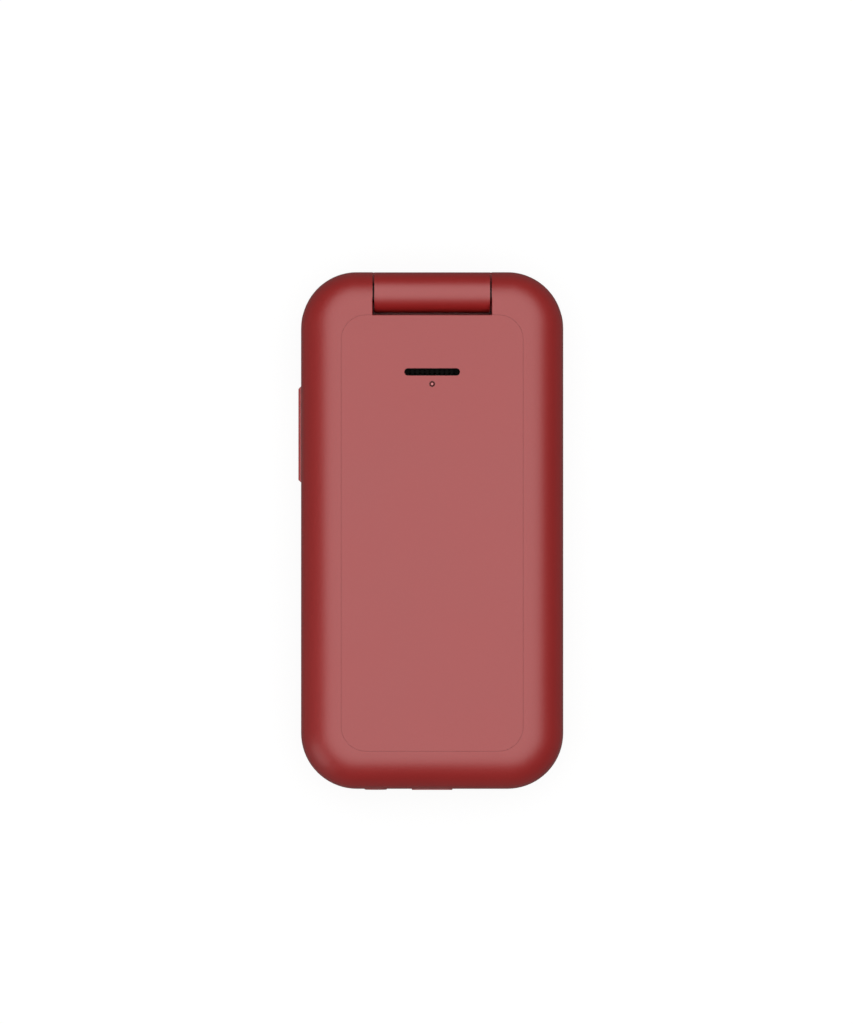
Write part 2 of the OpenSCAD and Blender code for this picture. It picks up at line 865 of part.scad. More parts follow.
// Way of the cable out of the sleeve and into the lid, from y0 to the hinge axis and out to x1
module cable_way(y0, x1)
{
    box([notch_x + way_in, y0, lid_board_z - way_below], [x1, hinge_y, lid_board_z + way_in]);
}

// Hollow sleeve that carries the other end of the lid and lets the cable through
module hinge_sleeve() color("silver")
    difference()
    {
        on_hinge(sleeve_r, barrel_x - sleeve_in, notch_x + sleeve_out);
        on_hinge(sleeve_bore_r, barrel_x - sleeve_in - past, notch_x + sleeve_out + past);
        cable_way(notch_y - wall - past, notch_x + sleeve_out + past);
    }

flex_t = 0.15;
strip_w = 1.8;
way_in = 0.6;
way_below = 0.4;
lid_roll_r = 0.9;
base_roll_r = 1.5;

// Cable of the lid, rolled up in the sleeve and led over the lid's board
module display_flex() color("darkorange")
{
    x0 = notch_x + way_in + 2 * slack;
    x1 = x0 + strip_w;
    difference()
    {
        on_hinge(lid_roll_r, barrel_x - sleeve_in + slack, x1);
        on_hinge(lid_roll_r - flex_t, 0, half_w);
    }
    box([x0, light_y - strip_w, lid_parts_z], [x1, screw_y1, lid_parts_z + flex_t]);
    box([x0, screw_y1, lid_board_z], [x1, hinge_y - lid_roll_r + flex_t, lid_board_z + flex_t]);
    box([x0, screw_y1, lid_board_z], [x1, screw_y1 + flex_t, lid_parts_z + flex_t]);
}

// ---- Base ----

ring_y = notch_y - rim_w - ring_in - ring_r;
rows_y1 = ring_y - ring_r - ring_strip;
rows_y0 = keypad_end - end_y;
key_w = (body_w - 2 * keypad_side - 2 * key_strip) / 3;
key_l = (rows_y1 - rows_y0 - 3 * key_strip) / 4;
rows_y = rows_y1 - key_l / 2;
pitch_x = key_w + key_strip;
pitch_y = key_l + key_strip;
side_key_w = half_w - side_key_side - ring_r - side_key_in;
side_x = half_w - side_key_side - side_key_w / 2;
side_key_y = (side_key_l + side_key_strip) / 2;

// Middle of the number key in a column from the left and a row from the top
function number_at(column, row) = [(column - 1) * pitch_x, rows_y - row * pitch_y];

// Middle of the function key at a side, -1 left or 1 right, and a row, 1 upper or -1 lower
function side_at(side, row) = [side * side_x, ring_y + row * side_key_y];

module number_outline(grow)
{
    round_rect(key_w + 2 * grow, key_l + 2 * grow, key_r + grow);
}

module side_outline(grow)
{
    round_rect(side_key_w + 2 * grow, side_key_l + 2 * grow, key_r + grow);
}

// Outlines of all the openings for keys, each grown by grow
module key_openings(grow)
{
    for (column = [0 : 2], row = [0 : 3])
        translate(number_at(column, row))
            number_outline(grow);
    for (side = [-1, 1], row = [-1, 1])
        translate(side_at(side, row))
            side_outline(grow);
    translate([0, ring_y])
        circle(ring_r + grow);
}

// A key: a cap that is crowned across, of the outline given as the first child, and the flange under the
// deck, of the outline given as the second
module key(at)
{
    translate([at[0], at[1], 0])
    {
        intersection()
        {
            translate([0, 0, flange_z])
                linear_extrude(key_top - flange_z)
                    children(0);
            translate([0, pitch_y, key_top - crown_r])
                rotate([90, 0, 0])
                    cylinder(r = crown_r, h = 2 * pitch_y, $fn = 1800);
        }
        translate([0, 0, flange_z])
            linear_extrude(flange_t)
                children(1);
    }
}

module number_key(column, row) color([0.13, 0.13, 0.14])
    key(number_at(column, row))
    {
        number_outline(0);
        number_outline(key_lip);
    }

module side_key(side, row) color([0.13, 0.13, 0.14])
    key(side_at(side, row))
    {
        side_outline(0);
        side_outline(key_lip);
    }

// Section of a turned key between two radii, with round top edges and a flange that reaches lip outwards
module turned_section(r0, r1, lip)
{
    edge = ring_edge_r;
    edge_z = key_top - edge;
    translate([r0, flange_z])
        square([r1 - r0 + lip, flange_t]);
    translate([r0, flange_z])
        square([r1 - r0, edge_z - flange_z]);
    inner = r0 > 0 ? edge : 0;
    translate([r0 + inner, edge_z - touch])
        square([r1 - edge - r0 - inner, edge + touch]);
    translate([r1 - edge, edge_z])
        circle(edge);
    if (r0 > 0)
        translate([r0 + edge, edge_z])
            circle(edge);
}

// Ring key that steers the menus
module key_ring() color([0.13, 0.13, 0.14])
    translate([0, ring_y, 0])
        rotate_extrude()
            turned_section(ok_r + ok_gap, ring_r, key_lip);

// Round key in the middle of the ring, with a shallow dish for the thumb
module key_ok() color([0.75, 0.75, 0.77])
    translate([0, ring_y, 0])
        difference()
        {
            rotate_extrude()
                turned_section(0, ok_r, 0);
            translate([0, 0, key_top - dish_d])
                cylinder(r1 = ok_r - 1.4, r2 = ok_r - 0.8, h = dish_d + touch);
        }

flex_x1 = barrel_x - sleeve_in - slack;
flex_x0 = flex_x1 + slack - roll_room;
capsule_l = barrel_x + flex_x0 - barrel_web - slack;

// Top of the base, with the keypad's deck and the hinge barrel
module keypad_cover() color("firebrick")
{
    difference()
    {
        union()
        {
            difference()
            {
                intersection()
                {
                    base_form(0, base_top, parting_r);
                    box([-half_w, -end_y, seam_z], [half_w, end_y, base_top]);
                }
                // room below the deck
                plan_prism(wall, seam_z - past, deck_z);
                // recess of the keypad
                translate([0, (notch_y - end_y) / 2, 0])
                    plate(body_w - 2 * rim_w, notch_y + end_y - 2 * rim_w, corner_r - rim_w,
                        recess_z, base_top + past);
                // trough under the knuckles
                on_hinge(knuckle_r + trough_gap, -half_w, half_w);
            }
            // neck that carries the barrel
            box([-barrel_x, barrel_front, deck_z], [barrel_x, barrel_y + barrel_r, hinge_z]);
            translate([0, barrel_shift, 0])
            {
                on_hinge(barrel_r - notch_chamfer, -barrel_x, barrel_x);
                on_hinge(barrel_r, -barrel_x + notch_chamfer, barrel_x - notch_chamfer);
            }
            at_screws()
                translate([0, 0, board_z + touch])
                    cylinder(r = boss_r - 0.2, h = deck_z - board_z);
        }
        translate([0, 0, deck_z - past])
            linear_extrude(base_top)
                key_openings(key_gap);
        on_hinge(capsule_r + touch, -barrel_x - past, -barrel_x + capsule_l + slack);
        on_hinge(sleeve_r + run_fit, flex_x0, barrel_x + past);
        // way of the cable down the neck
        box([flex_x0 + 0.2, hinge_y - 0.4, seam_z - past], [flex_x1 - 0.2, hinge_y + 0.4, hinge_z]);
        at_screws()
            translate([0, 0, board_z - past])
                cylinder(r = screw_hole_r, h = deck_z - board_z + past - 0.4);
        translate([mic_x, mic_y, deck_z - past])
            cylinder(r = 0.5, h = base_top);
    }
}

bay_wall = 0.9;
jack_x = half_w - jack_in;
jack_y1 = -end_y + jack_depth + jack_back;
bay_x = half_w - battery_side + battery_gap;
bay_y0 = jack_y1 + jack_room + bay_wall;
bay_y1 = cover_y - battery_head + battery_gap;
battery_w = 2 * (bay_x - battery_gap);
battery_l = bay_y1 - bay_y0 - 2 * battery_gap;
skin_t = 1;
low_inset = cover_t + cover_gap + skin_t;
skin_z = battery_z + skin_t;
holder_w = 15.4;
holder_l = 13;
holder_gap = 3.2;
card_w = 12.6;
card_l = 12;

// Places of the two SIM holders and the memory card holder in the floor of the battery bay
function holder_at(i) = [(i == 2 ? 0 : (2 * i - 1) * (holder_w + holder_gap) / 2),
                         bay_y0 + (i == 2 ? battery_l * 0.32 : battery_l * 0.68)];

module holder_outline(i, grow)
{
    w = i == 2 ? card_w : holder_w;
    l = i == 2 ? card_l : holder_l;
    translate(holder_at(i))
        square([w + 2 * grow, l + 2 * grow], center = true);
}

socket_z = board_z - usb_h / 2 - usb_t;
usb_lip_w = usb_w + 2 * usb_t + 2 * usb_flare;
usb_lip_h = usb_h + 2 * usb_t + 2 * usb_flare;
usb_lip_r = 1;
usb_gap = 0.15;
usb_recess_w = 1.1;
volume_y = end_y - volume_in;
volume_z = (cover_rim + seam_z) / 2;
pocket_x = half_w - 1.4;
camera_y = (cover_y + end_y - base_blend_w) / 2 + 0.5;
tab_w = 5;
tab_t = 0.7;
tab_h = 1.5;
tab_gap = 0.15;
tab_in = 12;
tab_ys = [screw_y0 + tab_in, (screw_y0 + screw_y1) / 2, cover_y - tab_w];
end_tab_x = 10;
nail_y = (tab_ys[0] + tab_ys[1]) / 2;
nail_l = 8;
nail_r = 0.7;
pocket_over = 1.4;

// Places of the battery cover's tabs, turned outwards: two on the left, where the volume key takes the
// place of the third, three on the right and one at the free end
module at_tabs()
{
    for (i = [0 : 2])
        translate([half_w - cover_t, tab_ys[i], 0])
            children();
    for (i = [0 : 1])
        translate([cover_t - half_w, tab_ys[i], 0])
            rotate([0, 0, 180])
                children();
    translate([end_tab_x, -end_y + cover_t, 0])
        rotate([0, 0, -90])
            children();
}

// Back housing of the base, with the battery bay below and the main board above
module rear_housing() color("firebrick")
{
    difference()
    {
        intersection()
        {
            base_form(0, base_top, 0);
            box([-half_w, -end_y, 0], [half_w, end_y, seam_z]);
        }
        // space of the battery cover
        difference()
        {
            box([-half_w - past, -end_y - past, -past], [half_w + past, cover_y + slack, cover_rim + slack]);
            base_form(cover_t + cover_gap, base_top, 0);
        }
        // room above the board's seat
        plan_prism(wall, board_z, seam_z + past);
        // rooms beside and beyond the battery bay
        difference()
        {
            plan_prism(low_inset, skin_z, board_z + past);
            box([-bay_x - bay_wall, bay_y0 - bay_wall, 0],
                [bay_x + bay_wall, bay_y1 + bay_wall, board_z]);
            at_screws()
                translate([0, 0, skin_z - past])
                    cylinder(r = boss_r, h = board_z);
        }
        // battery bay, and the windows of its floor
        box([-bay_x, bay_y0, -past], [bay_x, bay_y1, floor_z]);
        translate([0, 0, floor_z - past])
            linear_extrude(floor_t + 2 * past)
                for (i = [0 : 2])
                    holder_outline(i, 0.3);
        box([-contact_w / 2 - slack, bay_y1 - past, battery_z - past],
            [contact_w / 2 + slack, bay_y1 + contact_l, board_z + past]);
        // screw holes with room for the heads
        at_screws()
        {
            translate([0, 0, -past])
                cylinder(r = screw_pass_r, h = board_z + 2 * past);
            translate([0, 0, -past])
                cylinder(r = screw_head_r + slack, h = past + battery_z + slack + screw_head_t);
        }
        // openings of the free end
        translate([-jack_x, -end_y + low_inset + past, socket_z])
            rotate([90, 0, 0])
                cylinder(r = jack_ring_r + 0.08, h = low_inset + 2 * past);
        translate([0, -end_y + low_inset + past, socket_z])
            rotate([90, 0, 0])
                linear_extrude(low_inset + 2 * past)
                    round_rect(usb_lip_w + 2 * usb_gap, usb_lip_h + 2 * usb_gap, usb_lip_r + usb_gap);
        translate([0, -end_y + 0.2, socket_z])
            rotate([90, 0, 0])
                linear_extrude(past)
                    round_rect(usb_lip_w + 2 * usb_recess_w, usb_lip_h + 4 * usb_gap, usb_lip_h / 2);
        // slot of the volume key and the pocket behind it
        box([-half_w - past, volume_y - volume_l / 2 - volume_gap, volume_z - volume_h / 2 - volume_gap],
            [-pocket_x + past, volume_y + volume_l / 2 + volume_gap, volume_z + volume_h / 2 + volume_gap]);
        box([-pocket_x, volume_y - volume_l / 2 - pocket_over, volume_z - volume_h / 2 - 0.8],
            [-bay_x - bay_wall, volume_y + volume_l / 2 + pocket_over, seam_z + past]);
        // slots of the battery cover's tabs
        at_tabs()
            box([-tab_t - tab_gap, -tab_w / 2 - tab_gap, cover_rim - past],
                [tab_gap, tab_w / 2 + tab_gap, cover_rim + tab_h + tab_gap]);
        // camera and torch
        translate([0, camera_y, -past])
        {
            cylinder(r = camera_r + touch, h = past + touch + camera_t);
            cylinder(r = camera_r - 0.7, h = skin_z + 2 * past);
            translate([torch_x, 0, 0])
                cylinder(r = torch_r + touch, h = skin_z + 2 * past);
        }
        translate([0, camera_y, 0])
            plate(camera_side + 2 * slack, camera_side + 2 * slack, 0.5, touch + camera_t + 0.5, board_z);
        // nail notch for lifting the battery cover
        translate([half_w, nail_y, cover_rim + slack])
            rotate([90, 0, 0])
                cylinder(r = nail_r, h = nail_l, center = true);
    }
}

// Battery cover, which lifts off the back
module battery_cover() color("firebrick")
{
    difference()
    {
        intersection()
        {
            base_form(0, base_top, 0);
            box([-half_w, -end_y, 0], [half_w, cover_y, cover_rim]);
        }
        base_form(cover_t, base_top, 0);
    }
    at_tabs()
        box([-tab_t, -tab_w / 2, cover_t + 0.4], [0, tab_w / 2, cover_rim + tab_h]);
}

// Battery in its bay
module battery() color([0.2, 0.2, 0.22])
    translate([0, (bay_y0 + bay_y1) / 2, 0])
        plate(battery_w, battery_l, 1.5, battery_z, battery_z + battery_t);

jack_side = 6;
jack_h = 2 * (film_z - socket_z);

// Main board, which every part of the base plugs into
module main_board() color("darkgreen")
{
    inset = wall + 0.4;
    difference()
    {
        plan_prism(inset, board_z, film_z);
        at_screws()
            translate([0, 0, board_z - past])
                cylinder(r = boss_r, h = board_t + 2 * past);
        box([-jack_x - jack_side / 2 - 0.3, -end_y, board_z - past],
            [-jack_x + jack_side / 2 + 0.3, jack_y1 + 0.3, film_z + past]);
        // room for the volume key and its switches
        box([-half_w, volume_y - volume_l / 2 - pocket_over, board_z - past],
            [-bay_x - bay_wall - 0.3, volume_y + volume_l / 2 + pocket_over, film_z + past]);
    }
}

// Metal can over the radio parts
module shield_can() color("silver")
    translate([0, (bay_y1 + cover_y) / 2 + can_shift, 0])
        difference()
        {
            plate(can_w, can_l, 0.6, board_z - can_h, board_z);
            plate(can_w - 2 * can_t, can_l - 2 * can_t, 0.4, board_z - can_h + can_t, board_z + past);
        }

can_w = 30;
can_margin = 4.5;
can_shift = 1;
can_l = cover_y - bay_y1 - 2 * can_margin;
can_h = 1.6;
can_t = 0.2;

mat_y0 = rows_y - 3.5 * pitch_y;
mat_y1 = ring_y + ring_r + key_lip;

// Film with one metal dome under each key and four under the ring
module dome_sheet() color("gainsboro")
{
    translate([0, (mat_y0 + mat_y1) / 2, 0])
        plate(3 * pitch_x - 1, mat_y1 - mat_y0, 2, film_z, film_z + film_t);
    for (column = [0 : 2], row = [0 : 3])
        translate(number_at(column, row))
            dome();
    for (side = [-1, 1], row = [-1, 1])
        translate(side_at(side, row))
            dome();
    translate([0, ring_y])
    {
        dome();
        for (turn = [0 : 90 : 270])
            rotate(turn)
                translate([ring_r * 0.72, 0])
                    dome();
    }
}

module dome()
    translate([0, 0, film_z])
        cylinder(r1 = dome_r, r2 = dome_r / 2, h = film_t + dome_h);

// Rubber mat between the domes and the keys
module keymat() color([0.3, 0.3, 0.3])
    translate([0, (mat_y0 + mat_y1) / 2, 0])
        plate(3 * pitch_x - 1, mat_y1 - mat_y0, 2, mat_z, mat_z + mat_t);

// Charging socket: a shell with a flared lip and a tongue
module usb_connector() color("silver")
    translate([0, -end_y, socket_z])
        rotate([-90, 0, 0])
        {
            difference()
            {
                union()
                {
                    linear_extrude(usb_depth)
                        round_rect(usb_w + 2 * usb_t, usb_h + 2 * usb_t, 0.6);
                    translate([0, 0, -usb_out])
                        linear_extrude(0.8)
                            round_rect(usb_lip_w, usb_lip_h, usb_lip_r);
                }
                translate([0, 0, -past])
                    linear_extrude(usb_depth + past - usb_t)
                        round_rect(usb_w, usb_h, 0.4);
                translate([0, 0, -past])
                    linear_extrude(past + 0.2)
                        round_rect(usb_w + usb_flare, usb_h + usb_flare, 0.6);
            }
            translate([0, 0, 1])
                linear_extrude(usb_depth - 1.1)
                    square([usb_w - 3.2, 0.6], center = true);
        }

// Audio socket with its ring
module audio_jack() color([0.15, 0.15, 0.16])
    translate([-jack_x, -end_y, socket_z])
        rotate([-90, 0, 0])
            difference()
            {
                union()
                {
                    translate([0, 0, -jack_out + slack])
                        cylinder(r = jack_ring_r, h = low_inset + jack_out - slack + past);
                    translate([0, 0, -jack_out])
                        cylinder(r1 = jack_ring_r - slack, r2 = jack_ring_r, h = slack);
                    translate([-jack_side / 2, -jack_h / 2, low_inset + slack])
                        cube([jack_side, jack_h, jack_y1 + end_y - low_inset - slack]);
                }
                translate([0, 0, -past])
                    cylinder(r = jack_bore_r, h = past + jack_depth - jack_out);
            }

// Holders of the two SIM cards and the memory card, open towards the battery
module card_holders() color("silver")
    difference()
    {
        translate([0, 0, floor_z + touch])
            linear_extrude(floor_t - touch)
                for (i = [0 : 2])
                    holder_outline(i, 0);
        translate([0, 0, floor_z + 0.3])
            linear_extrude(0.5)
                for (i = [0 : 2])
                    translate([0, -1])
                        holder_outline(i, -0.6);
        translate([0, 0, floor_z - past])
            linear_extrude(past + 0.5)
                for (i = [0 : 2])
                    holder_outline(i, -2.6);
    }

contact_w = 9;
contact_l = 3;

// Spring contacts that meet the battery
module battery_contacts() color("gold")
{
    box([-contact_w / 2, bay_y1 + 0.2, battery_z + 0.6], [contact_w / 2, bay_y1 + contact_l - 0.1, board_z]);
    for (x = [-1, 0, 1])
        box([x * 2.8 - 0.6, bay_y1 - battery_gap + 0.02, battery_z + 1.4],
            [x * 2.8 + 0.6, bay_y1 + 0.3, floor_z - 0.6]);
}

motor_r = 2;
motor_l = 8;
motor_shaft_r = 0.4;
motor_gap = 0.3;
weight_l = 2.2;
motor_x = 9.5;
motor_z = skin_z + touch + motor_r;
motor_y = bay_y0 - bay_wall - 0.4 - motor_r;

// Vibration motor with its eccentric weight
module vibration_motor() color("silver")
    translate([motor_x, motor_y, motor_z])
        rotate([0, 90, 0])
        {
            cylinder(r = motor_r, h = motor_l);
            cylinder(r = motor_shaft_r, h = motor_l + motor_gap + weight_l);
            translate([0, 0, motor_l + motor_gap])
                intersection()
                {
                    cylinder(r = motor_r - slack, h = weight_l);
                    translate([-motor_shaft_r, -motor_r, 0])
                        cube([2 * motor_r, 2 * motor_r, weight_l]);
                }
        }

mic_x = 8;
mic_y = -end_y + 6.4;

// Microphone behind its hole in the deck
module microphone() color("gold")
    translate([mic_x, mic_y, film_z])
        cylinder(r = 2, h = deck_z - film_z - touch);

// Camera behind its window
module camera_module() color([0.1, 0.1, 0.1])
    translate([0, camera_y, 0])
    {
        lens_z = touch + camera_t + touch;
        body_z = lens_z + 0.6;
        translate([0, 0, lens_z])
            cylinder(r = camera_r - 0.8, h = 1);
        plate(camera_side, camera_side, 0.4, body_z, body_z + 3.6);
        plate(camera_side - 1.5, camera_side - 1.5, 0.4, body_z, board_z);
    }

// Window of the camera, flush with the back
module camera_window() color([0.1, 0.1, 0.12])
    translate([0, camera_y, touch])
        cylinder(r = camera_r, h = camera_t);

// Torch: lens and lamp in one
module torch_led() color("lightyellow")
    translate([torch_x, camera_y, touch])
    {
        cylinder(r = torch_r, h = skin_z);
        translate([-1, -1, 0])
            cube([2, 2, board_z - touch]);
    }

flange_x = pocket_x - 0.3;
flange_depth = 0.4;
flange_over = 0.5;
nub = 0.45;
switch_gap = 0.17;
strip_t = 0.3;
strip_over = 3;
strip_low = 1.4;
strip_high = 1.2;
switch_half = 1.7;
switch_low = 1.1;
switch_high = 1;

// The volume key's two switches on their strip
module side_switches() color("silver")
{
    strip_x = -bay_x - bay_wall;
    switch_x = -(flange_x - flange_depth - nub - switch_gap);
    box([strip_x - strip_t, volume_y - switch_y - strip_over, volume_z - strip_low],
        [strip_x, volume_y + switch_y + strip_over, volume_z + strip_high]);
    for (side = [-1, 1])
        translate([0, volume_y + side * switch_y, volume_z])
            box([switch_x, -switch_half, -switch_low],
                [strip_x - strip_t + touch, switch_half, switch_high]);
}

// Volume key, which rocks about its middle
module volume_key() color("firebrick")
{
    x0 = -half_w - volume_out;
    chamfer = volume_out - slack;
    x1 = -flange_x;
    half_l = volume_l / 2;
    half_h = volume_h / 2;
    intersection()
    {
        translate([0, volume_y, volume_z - half_h - past])
            linear_extrude(volume_h + 2 * past)
                polygon([
                    [x0, -half_l + chamfer], [x0, half_l - chamfer], [x0 + chamfer, half_l],
                    [x1 + touch, half_l], [x1 + touch, -half_l], [x0 + chamfer, -half_l]
                ]);
        translate([0, volume_y + half_l + past, volume_z])
            rotate([90, 0, 0])
                linear_extrude(volume_l + 2 * past)
                    polygon([
                        [x0, -half_h + volume_edge], [x0, half_h - volume_edge],
                        [x0 + volume_edge, half_h], [x1 + past, half_h],
                        [x1 + past, -half_h], [x0 + volume_edge, -half_h]
                    ]);
    }
    box([x1, volume_y - half_l - flange_over, volume_z - half_h - flange_over],
        [x1 + flange_depth, volume_y + half_l + flange_over, volume_z + half_h + flange_over]);
    for (side = [-1, 1])
        translate([x1 + flange_depth - touch, volume_y + side * switch_y, volume_z])
            rotate([0, 90, 0])
                cylinder(r = 0.8, h = nub + touch);
}

base_screw_l = 6.2;

// Screws that hold the base together, under the battery cover
module base_screws() color("silver")
    at_screws()
        translate([0, 0, battery_z + slack + screw_head_t])
            screw(base_screw_l);

// Capsule with the hinge's spring and fixed cam, held by the barrel
module hinge_capsule() color("silver")
    difference()
    {
        on_hinge(capsule_r, -barrel_x + hinge_recess, -barrel_x + capsule_l);
        on_hinge(cam_shaft_r + run_fit, -barrel_x - past, -barrel_x + cam_shaft_l + slack);
    }

// Cable of the base, rolled up in the barrel and led down its neck to the main board
module hinge_flex() color("darkorange")
{
    x0 = flex_x0 + 0.4;
    x1 = flex_x1 - 0.4;
    low_z = film_z + slack;
    plug_y = notch_y - 5;
    difference()
    {
        on_hinge(base_roll_r, x0, x1);
        on_hinge(base_roll_r - flex_t, flex_x0, flex_x1);
    }
    box([x0, hinge_y, low_z], [x1, hinge_y + flex_t, hinge_z - base_roll_r + flex_t / 2]);
    box([x0, plug_y + 1, low_z], [x1, hinge_y + flex_t, low_z + flex_t]);
    box([x0 - 0.2, plug_y, film_z], [x1 + 0.2, plug_y + 2.6, low_z + 0.6]);
}

antenna_x = 12.5;
antenna_w = 13;
antenna_t = 0.2;

// Antenna strip on the inside of the back
module antenna() color("goldenrod")
    translate([-antenna_x, camera_y, 0])
        plate(antenna_w, camera_side, 0.5, skin_z, skin_z + antenna_t);

module key_1() number_key(0, 0);
module key_2() number_key(1, 0);
module key_3() number_key(2, 0);
module key_4() number_key(0, 1);
module key_5() number_key(1, 1);
module key_6() number_key(2, 1);
module key_7() number_key(0, 2);
module key_8() number_key(1, 2);
module key_9() number_key(2, 2);
module key_star() number_key(0, 3);
module key_0() number_key(1, 3);
module key_hash() number_key(2, 3);
module key_soft_left() side_key(-1, 1);
module key_soft_right() side_key(1, 1);
module key_call() side_key(-1, -1);
module key_end() side_key(1, -1);

lid_cover();
lid_panel();
display_bezel();
display_window();
display_module();
display_frame();
lid_board();
loudspeaker();
speaker_mesh();
status_light_pipe();
earpiece();
earpiece_mesh();
lid_bumpers();
lid_screws();
lid_screw_caps();
lid_magnet();
hinge_cam();
hinge_sleeve();
display_flex();
keypad_cover();
rear_housing();
battery_cover();
battery();
main_board();
shield_can();
dome_sheet();
keymat();
usb_connector();
audio_jack();
card_holders();
battery_contacts();
vibration_motor();
microphone();
camera_module();
camera_window();
torch_led();
side_switches();
base_screws();
hinge_capsule();
hinge_flex();
antenna();
volume_key();
key_1();
key_2();
key_3();
key_4();
key_5();
key_6();
key_7();
key_8();
key_9();
key_star();
key_0();
key_hash();
key_soft_left();
key_soft_right();
key_call();
key_end();
key_ring();
key_ok();
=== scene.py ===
import math

import bpy
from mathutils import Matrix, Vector


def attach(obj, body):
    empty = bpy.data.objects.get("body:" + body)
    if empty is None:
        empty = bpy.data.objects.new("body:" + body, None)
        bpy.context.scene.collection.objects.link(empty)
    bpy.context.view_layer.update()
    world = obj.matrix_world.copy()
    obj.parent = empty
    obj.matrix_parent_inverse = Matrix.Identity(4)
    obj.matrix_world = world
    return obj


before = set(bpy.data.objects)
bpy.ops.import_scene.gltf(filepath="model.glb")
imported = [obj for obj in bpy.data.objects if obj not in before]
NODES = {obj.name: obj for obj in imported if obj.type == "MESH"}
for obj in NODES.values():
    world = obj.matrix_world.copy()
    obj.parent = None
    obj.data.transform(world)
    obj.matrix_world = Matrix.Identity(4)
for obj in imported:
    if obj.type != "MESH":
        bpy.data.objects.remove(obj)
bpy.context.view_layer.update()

MM = 0.001

# Places of the phone that the looks follow, in millimetres
HALF_W, HALF_L, CORNER_R = 26.75, 52.7, 11.4  # the body's plan
WALL = 0.95  # the paint ends this far inside the plan
COVER_T, COVER_Y = 1.0, 39.7  # the battery cover's thickness, and its end towards the hinge
BATTERY_Y, LABEL_HALF = -9.45, (17.05, 21.55)
DISPLAY_Y, PICTURE_HALF = -6.4, (21.2, 28.75)
STATUS_Y, STATUS_R = 29.85, 0.25
CAMERA_Y, TORCH_X = 44.45, 8.5
CLEAR_R, LINE_R = 1.6, (2.55, 2.75)  # the camera window's clear middle, and the line in its print
LENS_R, TORCH_R = 0.74, 0.62
LIP_Y = -52.6  # where the lips of the two sockets begin
KEY_TOP = 10.0
COLUMN_X = 15.6
ROW_Y = (6.4, -7.2, -20.8, -34.4)
SIDE_KEY_X = 17.9
SOFT_KEY_Y, CALL_KEY_Y = 29.9, 19.1
RING_Y = 24.5

# Refractive index of each clear layer
LACQUER, PLASTIC, GLASS, ACRYLIC = 1.68, 1.5, 1.5, 1.49

# Over how many millimetres one finish gives way to the next
SHARP, EDGE = 0.02, 0.05

# ---------------------------------------------------------------- materials

# The Mix node's sockets for colours
MIX_A, MIX_B, MIX_OUT = 6, 7, 2
# Blender's wave texture goes through this angle for one unit of scale times length
WAVE_ANGLE = 20


